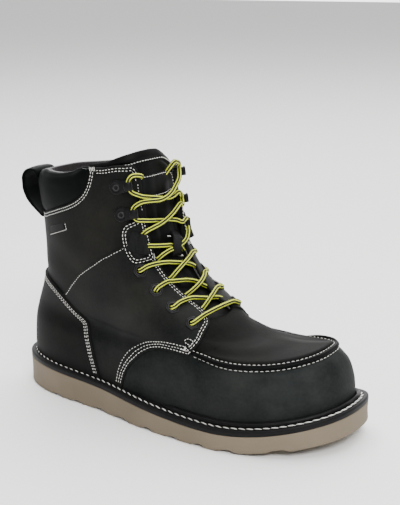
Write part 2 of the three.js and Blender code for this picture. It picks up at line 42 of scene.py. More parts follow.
# ------------------------------------------------------------------ the boot's face
# Lengths are millimetres from the middle of the sole on the heel axis at floor
# level: x to the toe, y to the medial side, z up. SHIFT takes them to the frame.
SHIFT = np.array([0.7719, 1.9016, 0.0])
COLS = ["t", "xb", "zb", "xf", "zf", "zs", "wl", "wm", "xm", "nb", "nf", "yf", "kl", "km"]
SECTIONS = np.array([
    [0.0, -147.3, 31.4, 144.2, 30.2, -3.9, 47.8, 42.3, 47.3, 2.41, 2.70, 17.4, .13, .20],
    [1.0, -148.4, 41.5, 143.4, 41.8, -2.9, 48.0, 42.8, 50.8, 2.36, 2.69, 17.4, .12, .18],
    [2.0, -147.9, 56.7, 137.4, 58.8, -2.8, 45.9, 42.2, 56.2, 2.28, 2.73, 18.2, .11, .16],
    [3.0, -145.1, 71.8, 127.6, 68.5, -6.0, 40.6, 39.8, 61.8, 2.23, 2.77, 18.6, .10, .14],
    [3.5, -142.7, 78.8, 123.0, 72.2, -7.8, 40.0, 39.2, 43.4, 2.18, 2.70, 17.0, .09, .13],
    [4.0, -138.3, 89.0, 103.5, 71.0, -9.0, 40.5, 38.6, 17.0, 2.16, 2.45, 11.0, .07, .11],
    [5.0, -134.5, 105.0, 70.4, 72.4, -4.2, 41.1, 40.2, -9.0, 2.12, 2.30, 5.0, .04, .07],
    [6.0, -134.7, 121.0, 44.8, 84.5, -1.0, 40.3, 42.4, -24.0, 2.03, 2.36, 2.4, .02, .03],
    [7.0, -135.7, 139.0, 16.7, 101.3, 0.0, 39.2, 42.7, -35.8, 1.95, 2.34, 1.0, 0, 0],
    [8.0, -136.2, 159.0, -5.4, 130.5, 2.0, 37.9, 43.0, -43.0, 1.98, 2.36, 0.5, 0, 0],
    [9.0, -137.6, 176.5, -13.3, 163.0, 4.5, 36.8, 42.3, -45.5, 2.00, 2.48, 0.4, 0, 0],
    [10.0, -137.8, 185.5, -16.5, 204.0, 5.0, 35.4, 41.3, -47.4, 2.05, 2.50, 0.4, 0, 0],
    [11.0, -139.0, 200.0, -18.5, 226.0, 4.0, 35.0, 40.8, -48.5, 2.05, 2.50, 0.4, 0, 0],
])
SOLE_TOP = [[-156, 23.9], [-46, 20.0], [62, 13.6], [156, 28.0]]
SOLE_BOTTOM = [[-156, 1.6], [-148, 0], [70, 0], [100, 1.4], [128, 4.6], [156, 10.0]]
FLANGE = [[0, 6.7], [40, 7.0], [62, 7.0], [80, 8.6], [96, 10.0], [150, 10.0], [180, 9.8], [215, 9.5], [262, 9.0],
          [285, 7.6], [300, 6.6], [325, 6.5], [360, 6.7]]
TOP_LINE = [[0, 10.0], [32, 10.03], [42, 9.89], [56, 9.82], [68, 9.9], [78, 10.1], [100, 10.1], [132, 10.03],
            [180, 10.0], [222, 9.72], [262, 9.76], [280, 9.82], [304, 9.84], [328, 9.98], [360, 10.0]]
FACING_EDGE = [[6.0, 164], [6.5, 163.5], [7.0, 161], [7.5, 157.5], [8.0, 153.8], [8.5, 150.2], [9.0, 148.2],
               [9.5, 145.4], [9.8, 142.0], [10.05, 136.5]]
TONGUE_TOP = [[78, 10.22], [100, 10.33], [135, 10.37], [160, 10.40], [172, 10.40], [182, 10.36], [190, 10.25],
              [202, 10.06], [216, 9.92], [236, 9.80], [282, 9.78]]
TONGUE = np.array([[5.15, 24, 3.6, 2.4], [6.0, 30, 3.4, 2.8], [7.0, 42, 3.4, 3.2], [8.0, 60, 3.4, 3.8],
                   [9.0, 80, 3.4, 4.6], [9.7, 96, 3.5, 6.5], [10.4, 102, 4.6, 3.6]])
EYELETS = [[5.81, 134.5], [6.40, 130.3], [7.01, 128.6], [7.49, 122.2]]
HOOKS = {"lower": [8.85, 113.2, 9.03, 138.6], "upper": [9.50, 109.2, 9.57, 133.6]}
WALL = 2.4
WELT_H, WELT_GAP = 4.6, 0.35


def pchip(pairs):
    """Monotone cubic through x, y pairs."""
    a = np.asarray(pairs, float)
    X, Y = a[:, 0], a[:, 1]
    h = np.diff(X)
    d = np.diff(Y) / h
    m = np.zeros(len(X))
    if len(X) > 2:
        w1, w2 = 2 * h[1:] + h[:-1], h[1:] + 2 * h[:-1]
        ok = d[:-1] * d[1:] > 0
        with np.errstate(divide="ignore", invalid="ignore"):
            m[1:-1] = np.where(ok, (w1 + w2) / (w1 / d[:-1] + w2 / d[1:]), 0)

        def end(h0, h1, d0, d1):
            v = ((2 * h0 + h1) * d0 - h0 * d1) / (h0 + h1)
            if v * d0 <= 0:
                return 0.0
            if d0 * d1 <= 0 and abs(v) > 3 * abs(d0):
                return 3 * d0
            return v
        m[0] = end(h[0], h[1], d[0], d[1])
        m[-1] = end(h[-1], h[-2], d[-1], d[-2])
    else:
        m[:] = d[0]

    def f(x):
        q = np.clip(np.asarray(x, float), X[0], X[-1])
        k = np.clip(np.searchsorted(X, q, side="right") - 1, 0, len(X) - 2)
        u = (q - X[k]) / h[k]
        return ((1 + 2 * u) * (1 - u) ** 2 * Y[k] + u * (1 - u) ** 2 * h[k] * m[k]
                + u * u * (3 - 2 * u) * Y[k + 1] + u * u * (u - 1) * h[k] * m[k + 1])
    return f


def line(pairs):
    a = np.asarray(pairs, float)
    return lambda x: np.interp(x, a[:, 0], a[:, 1])


SEC = {c: pchip(SECTIONS[:, [0, i]]) for i, c in enumerate(COLS) if i}
sole_top, sole_bottom, flange = pchip(SOLE_TOP), pchip(SOLE_BOTTOM), pchip(FLANGE)
_top, tongue_top, facing_edge = pchip(TOP_LINE), pchip(TONGUE_TOP), pchip(FACING_EDGE)


def top_line(phi):
    return _top(np.mod(phi, 360))


def P(t, phi):
    """Point of the boot's outer face: row t, angle phi in degrees from the back, lateral side first."""
    t, phi = np.broadcast_arrays(np.asarray(t, float), np.asarray(phi, float))
    c, s = np.cos(np.radians(phi)), np.sin(np.radians(phi))
    n = np.where(c > 0, SEC["nb"](t), SEC["nf"](t))
    xe, ye = np.abs(c) ** (2 / n), np.abs(s) ** (2 / n)
    xm = SEC["xm"](t)
    x = np.where(c > 0, xm - (xm - SEC["xb"](t)) * xe, xm + (SEC["xf"](t) - xm) * xe)
    fr = np.where(c < 0, xe, 0)
    w = np.where(s > 0, -SEC["wl"](t), SEC["wm"](t))
    k = np.where(s > 0, SEC["kl"](t), SEC["km"](t))
    y = SEC["yf"](t) * fr * fr + w * ye * (1 - k * np.exp(-((x + 60) / 45) ** 2))
    tt = np.maximum(t, 1)
    z = SEC["zb"](tt) * (1 + c) / 2 + SEC["zf"](tt) * (1 - c) / 2 + SEC["zs"](tt) * s * s
    z0 = sole_top(x) + 0.5
    z = np.where(t < 1, z0 + (z - z0) * t, z)
    return np.stack([x, y, z], -1)


def unit(v):
    return v / np.maximum(np.linalg.norm(v, axis=-1, keepdims=True), 1e-9)


def frame_at(t, phi):
    """Derivatives along t and phi and the outward normal."""
    t, phi = np.broadcast_arrays(np.asarray(t, float), np.asarray(phi, float))
    a = (P(t, phi + 0.3) - P(t, phi - 0.3)) / 0.6
    lo, hi = np.maximum(t - 0.01, 0), np.minimum(t + 0.01, 11)
    b = (P(hi, phi) - P(lo, phi)) / (hi - lo)[..., None]
    return b, a, unit(np.cross(a, b))


def O(t, phi, d):
    """Point at height d over the face."""
    return P(t, phi) + frame_at(t, phi)[2] * np.asarray(d, float)[..., None]


def move(tp, vec):
    """Moves (t, phi) points along the face by a 3-D displacement."""
    b, a, _ = frame_at(tp[:, 0], tp[:, 1])
    g11, g12, g22 = (b * b).sum(-1), (a * b).sum(-1), (a * a).sum(-1)
    v1, v2 = (b * vec).sum(-1), (a * vec).sum(-1)
    det = np.maximum(g11 * g22 - g12 * g12, 1e-9)
    dt, dp = (g22 * v1 - g12 * v2) / det, (g11 * v2 - g12 * v1) / det
    return tp + np.stack([dt, dp], -1)


def phi_of(t, x):
    """Angle, 0 to 180, of the point of row t that lies at x."""
    t, x = np.broadcast_arrays(np.asarray(t, float), np.asarray(x, float))
    xm, xb, xf = SEC["xm"](t), SEC["xb"](t), SEC["xf"](t)
    back = x < xm
    q = np.where(back, (xm - x) / (xm - xb), (x - xm) / (xf - xm))
    c = np.clip(q, 0, 1) ** (np.where(back, SEC["nb"](t), SEC["nf"](t)) / 2)
    return np.degrees(np.arccos(np.where(back, c, -c)))


def flat_round(tp):
    return tp * np.array([17.0, 1.0])


def flat_side(tp):
    """Plane picture of one side of the boot: x and the row, where the angle bunches up."""
    return np.stack([P(tp[:, 0], tp[:, 1])[:, 0], 13 * tp[:, 0]], -1)


def side_curve(points, step=1.0):
    """Smooth curve through (t, phi) points of the lateral side, led through x and the row."""
    q = flat_side(np.asarray(points, float))
    out = catmull(q, np.array([1.0, 1.0]), 12)
    t = out[:, 1] / 13
    r = np.stack([t, phi_of(t, out[:, 0])], -1)
    return resample(r, step)


def catmull(p, sc, n=12):
    q = np.vstack([2 * p[0] - p[1], p, 2 * p[-1] - p[-2]])
    out = []
    for i in range(1, len(q) - 2):
        p0, p1, p2, p3 = q[i - 1], q[i], q[i + 1], q[i + 2]
        d1, d0, d2 = (max(np.linalg.norm((b - a) * sc), 1e-6) ** 0.5 for a, b in ((p1, p2), (p0, p1), (p2, p3)))
        m1 = ((p1 - p0) / d0 - (p2 - p0) / (d0 + d1) + (p2 - p1) / d1) * d1
        m2 = ((p2 - p1) / d1 - (p3 - p1) / (d1 + d2) + (p3 - p2) / d2) * d1
        u = np.linspace(0, 1, n, endpoint=False)[:, None]
        out.append((2 * u ** 3 - 3 * u ** 2 + 1) * p1 + (u ** 3 - 2 * u ** 2 + u) * m1
                   + (-2 * u ** 3 + 3 * u ** 2) * p2 + (u ** 3 - u ** 2) * m2)
    return np.vstack(out + [p[-1:]])


def smooth_curve(points, step=1.0, closed=False):
    """Catmull-Rom through the points in (t, phi), resampled at an even step in mm."""
    p = np.asarray(points, float)
    q = np.vstack([p[-1], p, p[0], p[1]]) if closed else np.vstack([2 * p[0] - p[1], p, 2 * p[-1] - p[-2]])
    sc = np.array([17.0, 1.1])
    out = []
    for i in range(1, len(q) - 2):
        p0, p1, p2, p3 = q[i - 1], q[i], q[i + 1], q[i + 2]
        d1 = max(np.linalg.norm((p2 - p1) * sc), 1e-6) ** 0.5
        d0 = max(np.linalg.norm((p1 - p0) * sc), 1e-6) ** 0.5
        d2 = max(np.linalg.norm((p3 - p2) * sc), 1e-6) ** 0.5
        m1 = ((p1 - p0) / d0 - (p2 - p0) / (d0 + d1) + (p2 - p1) / d1) * d1
        m2 = ((p2 - p1) / d1 - (p3 - p1) / (d1 + d2) + (p3 - p2) / d2) * d1
        u = np.linspace(0, 1, 12, endpoint=False)[:, None]
        out.append((2 * u ** 3 - 3 * u ** 2 + 1) * p1 + (u ** 3 - 2 * u ** 2 + u) * m1
                   + (-2 * u ** 3 + 3 * u ** 2) * p2 + (u ** 3 - u ** 2) * m2)
    out = np.vstack(out + ([p[:1]] if closed else [p[-1:]]))
    r = resample(out, step)
    return r[:-1] if closed else r


def resample(tp, step):
    x = P(tp[:, 0], tp[:, 1])
    s = np.concatenate([[0], np.cumsum(np.linalg.norm(np.diff(x, axis=0), axis=1))])
    n = max(int(round(s[-1] / step)), 1)
    q = np.linspace(0, s[-1], n + 1)
    return np.stack([np.interp(q, s, tp[:, 0]), np.interp(q, s, tp[:, 1])], -1)


def side(tp, d, smooth=2):
    """Copy of an open curve moved sideways by d mm, to its left seen from outside, in small steps."""
    tp = np.array(tp, float)
    k = max(1, int(math.ceil(np.max(np.abs(d)) / 0.6)))
    for _ in range(k):
        x = P(tp[:, 0], tp[:, 1])
        tan = np.gradient(x, axis=0)
        for _i in range(smooth):
            tan[1:-1] = (tan[:-2] + 2 * tan[1:-1] + tan[2:]) / 4
        n = frame_at(tp[:, 0], tp[:, 1])[2]
        left = unit(np.cross(n, unit(tan)))
        tp = move(tp, left * ((d if np.isscalar(d) else np.asarray(d)[:, None]) / k))
    return tp


def mirror(tp):
    q = np.array(tp, float)
    q[:, 1] = -q[:, 1]
    return q


# ------------------------------------------------------------------ meshes
def mesh(name, verts, polys, mat, uv=None, flat=False):
    me = bpy.data.meshes.new(name)
    v = (np.asarray(verts, float) + SHIFT) / 1000
    me.vertices.add(len(v))
    me.vertices.foreach_set("co", v.ravel())
    polys = [np.asarray(p, int) for p in polys if len(p)]
    loops = np.concatenate([p.ravel() for p in polys])
    sizes = np.concatenate([np.full(len(p), p.shape[1]) for p in polys])
    me.loops.add(len(loops))
    me.loops.foreach_set("vertex_index", loops)
    me.polygons.add(len(sizes))
    me.polygons.foreach_set("loop_start", np.concatenate([[0], np.cumsum(sizes)[:-1]]))
    me.polygons.foreach_set("use_smooth", np.full(len(sizes), not flat))
    if uv is not None:
        layer = me.uv_layers.new(name="pattern")
        layer.data.foreach_set("uv", np.asarray(uv, float)[loops].ravel() if len(uv) == len(v) else np.asarray(uv, float).ravel())
    me.update(calc_edges=True)
    me.validate()
    o = bpy.data.objects.new(name, me)
    bpy.context.scene.collection.objects.link(o)
    me.materials.append(mat)
    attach(o, "root")
    return o


def grid_quads(ni, nj, wrap=False, start=0):
    """Quads of an ni x nj vertex grid; wrap joins the last column to the first."""
    i = np.arange(ni - 1)[:, None]
    j = np.arange(nj if wrap else nj - 1)[None, :]
    a = i * nj + j
    b = i * nj + (j + 1) % nj
    return start + np.stack([a, b, b + nj, a + nj], -1).reshape(-1, 4)


def inside(poly, pts):
    x, y = pts[:, 0][:, None], pts[:, 1][:, None]
    x0, y0 = poly[:, 0][None], poly[:, 1][None]
    x1, y1 = np.roll(poly[:, 0], -1)[None], np.roll(poly[:, 1], -1)[None]
    hit = (y0 > y) != (y1 > y)
    with np.errstate(divide="ignore", invalid="ignore"):
        xc = (x1 - x0) * (y - y0) / (y1 - y0) + x0
    return ((hit & (x < xc)).sum(1) % 2) == 1


def dist_to(poly, pts, closed=True):
    """Distance in 3-D from points to a polyline, and the nearest segment."""
    a = poly
    b = np.roll(poly, -1, axis=0)
    if not closed:
        a, b = a[:-1], b[:-1]
    best = np.full(len(pts), 1e9)
    seg = np.zeros(len(pts), int)
    ab = b - a
    l2 = np.maximum((ab * ab).sum(1), 1e-9)
    for k in range(0, len(pts), 1500):
        p = pts[k:k + 1500][:, None]
        u = np.clip(((p - a) * ab).sum(-1) / l2, 0, 1)
        d = np.linalg.norm(p - (a + u[..., None] * ab), axis=-1)
        seg[k:k + 1500] = d.argmin(1)
        best[k:k + 1500] = d.min(1)
    return best, seg


def back_from(v, flat, loop):
    """Face coordinates of a point of the plane picture that the triangulation added."""
    if flat is flat_round:
        return np.array([v.x / 17.0, v.y])
    t = v.y / 13
    return np.array([t, float(phi_of(t, v.x)) * (1 if loop[:, 1].mean() > 0 else -1)])


RINGS = [0.1, 0.28, 0.55, 1.1, 1.65, 2.2, 2.75, 3.3, 4.4, 5.0, 5.6, 6.6, 7.2, 8.2, 9.8]


def panel(name, loop, height, mat, rows=None, grid=2.3, under=1.4, edge=0.5, rings=RINGS, flat=flat_round):
    """Leather panel over a closed (t, phi) outline: rolled edge, grooves along its
    stitch rows (rows: per outline point, distances from the edge) and a skirt that
    goes under. height: level of its face over the boot's face."""
    loop = np.asarray(loop, float)
    x = P(loop[:, 0], loop[:, 1])
    tan = unit(np.roll(x, -1, axis=0) - np.roll(x, 1, axis=0))
    nrm = frame_at(loop[:, 0], loop[:, 1])[2]
    left = np.cross(nrm, tan)
    plane = flat(loop)
    sgn = 1 if inside(plane, flat(move(loop, left * 0.4))).mean() > 0.5 else -1
    pts, cur, done = [], loop.copy(), 0.0
    for d in rings:
        while done < d - 1e-6:
            st = min(0.7, d - done)
            n = frame_at(cur[:, 0], cur[:, 1])[2]
            cur = move(cur, unit(left - n * (left * n).sum(1)[:, None]) * sgn * st)
            done += st
        q = cur if d <= 3 else cur[::2] if d < 6 else cur[::3]
        ok = inside(plane, flat(q))
        q = q[ok]
        dd, _ = dist_to(x, P(q[:, 0], q[:, 1]))
        keep = dd > 0.93 * d - 0.02
        pts.append(q[keep])
    t0, t1, p0, p1 = loop[:, 0].min(), loop[:, 0].max(), loop[:, 1].min(), loop[:, 1].max()
    rowlen = np.linalg.norm(P(min(t1, 10.9), (p0 + p1) / 2) - P(t0, (p0 + p1) / 2)) / max(t1 - t0, 0.1)
    for i, t in enumerate(np.arange(t0, t1, grid / max(rowlen, 14))):
        f = np.linspace(p0, p1, 700)
        arc = P(np.full(700, t), f)
        arc = np.concatenate([[0], np.cumsum(np.linalg.norm(np.diff(arc, axis=0), axis=1))])
        pp = np.interp(np.arange((i % 2) * grid / 2, arc[-1], grid), arc, f)
        q = np.stack([np.full(len(pp), t), pp], -1)
        q = q[inside(plane, flat(q))]
        if len(q):
            dd, _ = dist_to(x, P(q[:, 0], q[:, 1]))
            pts.append(q[dd > rings[-1] + 0.5 * grid])
    allp = np.vstack([loop] + pts)
    n = len(loop)
    co = flat(allp)
    edges = [(i, (i + 1) % n) for i in range(n)]
    vo, _, fo, orig, _, _ = delaunay_2d_cdt([Vector(c) for c in co], edges, [list(range(n))], 1, 1e-5)
    tp = np.array([allp[min(o)] if len(o) else back_from(v, flat, loop) for v, o in zip(vo, orig)])
    faces = np.array([f for f in fo if len(f) == 3], int)
    xs = P(tp[:, 0], tp[:, 1])
    dd, seg = dist_to(x, xs)
    onedge = np.array([len(o) > 0 and min(o) < n for o in orig])
    dd[onedge] = 0
    _, _, nn = frame_at(tp[:, 0], tp[:, 1])
    roll = -edge * np.sqrt(np.maximum(0, 1 - np.clip(dd / edge, 0, 1) * (2 - np.clip(dd / edge, 0, 1))))
    h = height(tp[:, 0], tp[:, 1]) if callable(height) else np.full(len(tp), float(height))
    h = h + roll
    if rows is not None:
        rr = rows[seg]
        with np.errstate(invalid="ignore"):
            g = np.exp(-((dd[:, None] - rr) / 0.55) ** 2)
        h = h - 0.28 * np.nansum(np.where(np.isnan(rr), 0, g), 1)
        first = np.nanmin(np.where(np.isnan(rr), 99, rr), 1)
        h = h + 0.16 * np.exp(-((dd - first * 0.5) / 0.7) ** 2) * (first < 50)
    verts = xs + nn * h[:, None]
    # outward winding
    f3 = verts[faces]
    cr = np.cross(f3[:, 1] - f3[:, 0], f3[:, 2] - f3[:, 0])
    flip = (cr * nn[faces[:, 0]]).sum(1) < 0
    faces[flip] = faces[flip][:, ::-1]
    # skirt along the outline
    where = {}
    for i, o in enumerate(orig):
        for k in o:
            if k < n:
                where[k] = i
    ring = np.array([where[k] for k in range(n)])
    lo1 = verts[ring] - nn[ring] * (under * 0.45)
    lo2 = verts[ring] - nn[ring] * under
    base = len(verts)
    verts = np.vstack([verts, lo1, lo2])
    i = np.arange(n)
    j = (i + 1) % n
    q1 = np.stack([ring[i], ring[j], base + j, base + i], -1)
    q2 = np.stack([base + i, base + j, base + n + j, base + n + i], -1)
    q = np.vstack([q1, q2])
    if sgn > 0:
        q = q[:, ::-1]
    return mesh(name, verts, [faces, q], mat)


# ------------------------------------------------------------------ stitches
STITCH = {"v": [], "f": [], "n": 0}


def stitch_row(tp, height, pitch=2.8, r=0.27, fill=0.76, slant=0.0, store=STITCH, skip=None, flatten=0.75, dive=0.62):
    """Small thread capsules along a curve on the boot's face, dipping in at both ends."""
    x = P(tp[:, 0], tp[:, 1])
    s = np.concatenate([[0], np.cumsum(np.linalg.norm(np.diff(x, axis=0), axis=1))])
    n = max(int(round(s[-1] / pitch)), 1)
    pitch = s[-1] / n
    mid = (np.arange(n) + 0.5) * pitch
    us = np.array([-0.5, -0.44, -0.3, 0.0, 0.3, 0.44, 0.5])
    rad = np.array([0.25, 0.72, 1.0, 1.06, 1.0, 0.72, 0.25]) * r
    lift = np.array([-1.0, -0.45, 0.05, 0.25, 0.05, -0.45, -1.0]) * dive
    ang = np.arange(6) * math.pi / 3 + math.pi / 6
    for m in mid:
        if skip is not None and skip(m, s[-1]):
            continue
        q = m + us * pitch * fill + RNG.normal(0, 0.05)
        t, ph = np.interp(q, s, tp[:, 0]), np.interp(q, s, tp[:, 1])
        hh = height(t, ph) if callable(height) else height
        _, _, nn = frame_at(t, ph)
        c = P(t, ph)
        tan = unit(np.gradient(c, axis=0))
        sd = unit(np.cross(nn, tan))
        sl = slant + RNG.normal(0, 0.05)
        c = c + nn * (hh + lift)[:, None] + sd * (us * pitch * fill * sl)[:, None]
        ringv = (c[:, None] + sd[:, None] * (np.cos(ang)[None, :, None] * rad[:, None, None])
                 + nn[:, None] * (np.sin(ang)[None, :, None] * rad[:, None, None] * flatten))
        store["v"].append(ringv.reshape(-1, 3))
        store["f"].append(grid_quads(len(us), 6, wrap=True, start=store["n"]))
        store["n"] += len(us) * 6


def bartack(a, b, height, w=1.6, n=8, store=STITCH, r=0.27):
    """Dense cross stitches between two (t, phi) points."""
    for k in range(n):
        u = (k + 0.5) / n
        c = np.array(a) * (1 - u) + np.array(b) * u
        d = unit(P(b[0], b[1]) - P(a[0], a[1]))
        _, _, nn = frame_at(c[0], c[1])
        sd = unit(np.cross(nn, d))
        e = move(np.vstack([c, c]), np.vstack([-sd * w / 2 + d * 0.25, sd * w / 2 - d * 0.25]))
        line_tp = resample(e, 0.4)
        stitch_row(line_tp, height, pitch=w, r=r, fill=1.05, store=store, dive=0.3)


def flush(store, name, mat):
    return mesh(name, np.vstack(store["v"]), [np.vstack(store["f"])], mat)


# ------------------------------------------------------------------ materials
def nodes_of(name, color, rough, metallic=0.0, spec=0.5):
    m = bpy.data.materials.new(name)
    m.use_nodes = True
    nt = m.node_tree
    b = nt.nodes["Principled BSDF"]
    b.inputs["Base Color"].default_value = (*color, 1)
    b.inputs["Roughness"].default_value = rough
    b.inputs["Metallic"].default_value = metallic
    b.inputs["Specular IOR Level"].default_value = spec
    return m, nt, b


def tex(nt, kind, scale, detail=3.0, vector=None, **kw):
    n = nt.nodes.new(kind)
    n.inputs["Scale"].default_value = scale
    if "Detail" in n.inputs:
        n.inputs["Detail"].default_value = detail
    for k, v in kw.items():
        n.inputs[k].default_value = v
    if vector is None:
        tc = nt.nodes.new("ShaderNodeTexCoord")
        vector = tc.outputs["Object"]
    nt.links.new(vector, n.inputs["Vector"])
    return n


def ramp(nt, fac, stops):
    r = nt.nodes.new("ShaderNodeValToRGB")
    e = r.color_ramp.elements
    while len(e) > 1:
        e.remove(e[-1])
    e[0].position, e[0].color = stops[0][0], (*stops[0][1], 1)
    for p, c in stops[1:]:
        k = e.new(p)
        k.color = (*c, 1)
    nt.links.new(fac, r.inputs["Fac"])
    return r


def math_node(nt, op, a, b=None, c=None):
    n = nt.nodes.new("ShaderNodeMath")
    n.operation = op
    for i, v in enumerate((a, b, c)):
        if v is None:
            continue
        if isinstance(v, (int, float)):
            n.inputs[i].default_value = v
        else:
            nt.links.new(v, n.inputs[i])
    return n.outputs[0]


def bump(nt, b, heights, strength=0.3, dist=0.0003):
    """Adds a list of (output, weight) together as one bump."""
    tot = None
    for out, w in heights:
        s = math_node(nt, "MULTIPLY", out, w)
        tot = s if tot is None else math_node(nt, "ADD", tot, s)
    n = nt.nodes.new("ShaderNodeBump")
    n.inputs["Strength"].default_value = strength
    n.inputs["Distance"].default_value = dist
    nt.links.new(tot, n.inputs["Height"])
    nt.links.new(n.outputs["Normal"], b.inputs["Normal"])


def pullup_and_highlights(nt, color, pullup_highlight_patches, noise):
    """Painted highlights, partly the leather's lighter pull-up: lightens and tints the leather round some points: (row,
    angle, radius in mm, tint added).
    """
    tc = nt.nodes.new("ShaderNodeTexCoord")
    for t, phi, rad, tint in pullup_highlight_patches:
        c = (P(t, phi) + SHIFT) / 1000
        d = nt.nodes.new("ShaderNodeVectorMath")
        d.operation = "DISTANCE"
        nt.links.new(tc.outputs["Object"], d.inputs[0])
        d.inputs[1].default_value = tuple(float(v) for v in c)
        mr = nt.nodes.new("ShaderNodeMapRange")
        mr.interpolation_type = "SMOOTHSTEP"
        for k, v in (("From Min", rad / 1000), ("From Max", 0.0), ("To Min", 0.0), ("To Max", 1.0)):
            mr.inputs[k].default_value = v
        nt.links.new(d.outputs["Value"], mr.inputs["Value"])
        f = math_node(nt, "MULTIPLY", mr.outputs["Result"], math_node(nt, "MULTIPLY_ADD", noise, 2.2, -0.35))
        f = math_node(nt, "MAXIMUM", f, 0.0)
        mix = nt.nodes.new("ShaderNodeMix")
        mix.data_type = "RGBA"
        mix.blend_type = "ADD"
        mix.inputs["B"].default_value = (*tint, 1)
        nt.links.new(f, mix.inputs["Factor"])
        nt.links.new(color, mix.inputs["A"])
        color = mix.outputs["Result"]
    return color


def leather(name, dark, light, rough=0.5, grain=1.0, spec=0.42, pullup_highlight_patches=()):
    m, nt, b = nodes_of(name, dark, rough, spec=spec)
    big = tex(nt, "ShaderNodeTexNoise", 22, 4, Roughness=0.55)
    fine = tex(nt, "ShaderNodeTexNoise", 420, 6, Roughness=0.62)
    pore = tex(nt, "ShaderNodeTexVoronoi", 950, 0)
    tiny = tex(nt, "ShaderNodeTexNoise", 2600, 2)
    mixf = math_node(nt, "ADD", math_node(nt, "MULTIPLY", big.outputs["Fac"], 0.72),
                     math_node(nt, "MULTIPLY", fine.outputs["Fac"], 0.28))
    r = ramp(nt, mixf, [(0.36, dark), (0.52, tuple((a + c) / 2 for a, c in zip(dark, light))), (0.68, light)])
    nt.links.new(pullup_and_highlights(nt, r.outputs["Color"], pullup_highlight_patches, big.outputs["Fac"]), b.inputs["Base Color"])
    rr = math_node(nt, "ADD", math_node(nt, "MULTIPLY", big.outputs["Fac"], 0.16), rough - 0.08)
    nt.links.new(rr, b.inputs["Roughness"])
    bump(nt, b, [(fine.outputs["Fac"], 0.6 * grain), (pore.outputs["Distance"], 0.35 * grain), (tiny.outputs["Fac"], 0.25 * grain)],
         0.38, 0.00035)
    return m


# The listed points in these leathers are painted highlights where the light falls broadest, partly the leather's
# lighter pull-up.
M_LEATHER = leather("oiled_leather", (0.0030, 0.0036, 0.0036), (0.0092, 0.0094, 0.0083), rough=0.56, spec=0.055,
                    pullup_highlight_patches=[(8.3, 88, 34, (0.0052, 0.0046, 0.0032)), (6.6, 72, 40, (0.0040, 0.0036, 0.0026)), (9.3, 104, 18, (0.003, 0.0028, 0.002))])
M_QUARTER = leather("quarter_leather", (0.0042, 0.0051, 0.0050), (0.0135, 0.0138, 0.0124), rough=0.56, spec=0.06,
                    pullup_highlight_patches=[(5.8, 98, 42, (0.0058, 0.0053, 0.0040)), (3.6, 70, 36, (0.0046, 0.0050, 0.0048)), (6.9, 112, 22, (0.004, 0.0036, 0.0026))])
M_WALL = leather("vamp_leather", (0.0052, 0.0066, 0.0066), (0.0190, 0.0205, 0.0195), rough=0.56, spec=0.065,
                 pullup_highlight_patches=[(2.0, 146, 30, (0.0112, 0.0116, 0.0112)), (1.4, 128, 30, (0.0060, 0.0072, 0.0070)), (2.2, 104, 34, (0.0048, 0.0050, 0.0045))])
M_RIDGE = leather("ridge_leather", (0.0018, 0.0021, 0.0021), (0.0046, 0.0049, 0.0046), rough=0.52, spec=0.05)
M_PLUG = leather("plug_leather", (0.0028, 0.0031, 0.0028), (0.0078, 0.0077, 0.0066), rough=0.6, spec=0.035,
                 pullup_highlight_patches=[(3.5, 150, 40, (0.0030, 0.0034, 0.0034)), (4.6, 140, 30, (0.0022, 0.0022, 0.0018))])
M_COLLAR = leather("collar_leather", (0.0011, 0.0019, 0.0018), (0.0024, 0.0034, 0.0031), rough=0.54, grain=0.35, spec=0.03)
M_TONGUE = leather("tongue_leather", (0.0021, 0.0025, 0.0024), (0.0052, 0.0053, 0.0048), rough=0.5, grain=0.5, spec=0.05)
M_PATCH = leather("label_patch", (0.0018, 0.0020, 0.0022), (0.0034, 0.0037, 0.0040), rough=0.5, grain=0.4, spec=0.08)


def make_sole():
    m, nt, b = nodes_of("taupe_rubber", (0.24, 0.205, 0.165), 0.72, spec=0.3)
    big = tex(nt, "ShaderNodeTexNoise", 18, 3)
    fine = tex(nt, "ShaderNodeTexNoise", 1400, 4)
    f = math_node(nt, "ADD", math_node(nt, "MULTIPLY", big.outputs["Fac"], 0.7), math_node(nt, "MULTIPLY", fine.outputs["Fac"], 0.3))
    r = ramp(nt, f, [(0.3, (0.142, 0.113, 0.076)), (0.7, (0.188, 0.151, 0.106))])
    nt.links.new(r.outputs["Color"], b.inputs["Base Color"])
    bump(nt, b, [(fine.outputs["Fac"], 1.0)], 0.25, 0.0003)
    return m


def make_plain(name, color, rough, spec=0.5, metallic=0.0, scale=900, amount=0.2, spread=0.25, coat=0.0):
    m, nt, b = nodes_of(name, color, rough, metallic, spec)
    n1 = tex(nt, "ShaderNodeTexNoise", scale, 4)
    n2 = tex(nt, "ShaderNodeTexNoise", scale / 25, 3)
    f = math_node(nt, "ADD", math_node(nt, "MULTIPLY", n1.outputs["Fac"], 0.4), math_node(nt, "MULTIPLY", n2.outputs["Fac"], 0.6))
    r = ramp(nt, f, [(0.3, tuple(c * (1 - spread) for c in color)), (0.7, tuple(min(1, c * (1 + spread)) for c in color))])
    nt.links.new(r.outputs["Color"], b.inputs["Base Color"])
    b.inputs["Coat Weight"].default_value = coat
    b.inputs["Coat Roughness"].default_value = 0.18
    bump(nt, b, [(n1.outputs["Fac"], 1.0)], amount, 0.0002)
    return m


M_SOLE = make_sole()
M_WELT = make_plain("welt_black", (0.0062, 0.0060, 0.0062), 0.5, 0.1, scale=1200, amount=0.18)
M_RIB = make_plain("rib_polished", (0.0050, 0.0052, 0.0052), 0.42, 0.1, scale=300, amount=0.05)
M_THREAD = make_plain("thread", (0.70, 0.69, 0.645), 0.62, 0.3, scale=3000, amount=0.5, spread=0.1)
M_METAL = make_plain("blackened_steel", (0.0050, 0.0050, 0.0054), 0.42, 0.13, metallic=0.15, scale=700, amount=0.08)
# Lighter metal for rims: wear, and a painted highlight on the eyelets' edges and the rivet domes.
M_RIM = make_plain("rim_wear_and_highlight", (0.026, 0.026, 0.027), 0.42, 0.25, metallic=0.4, scale=700, amount=0.08)


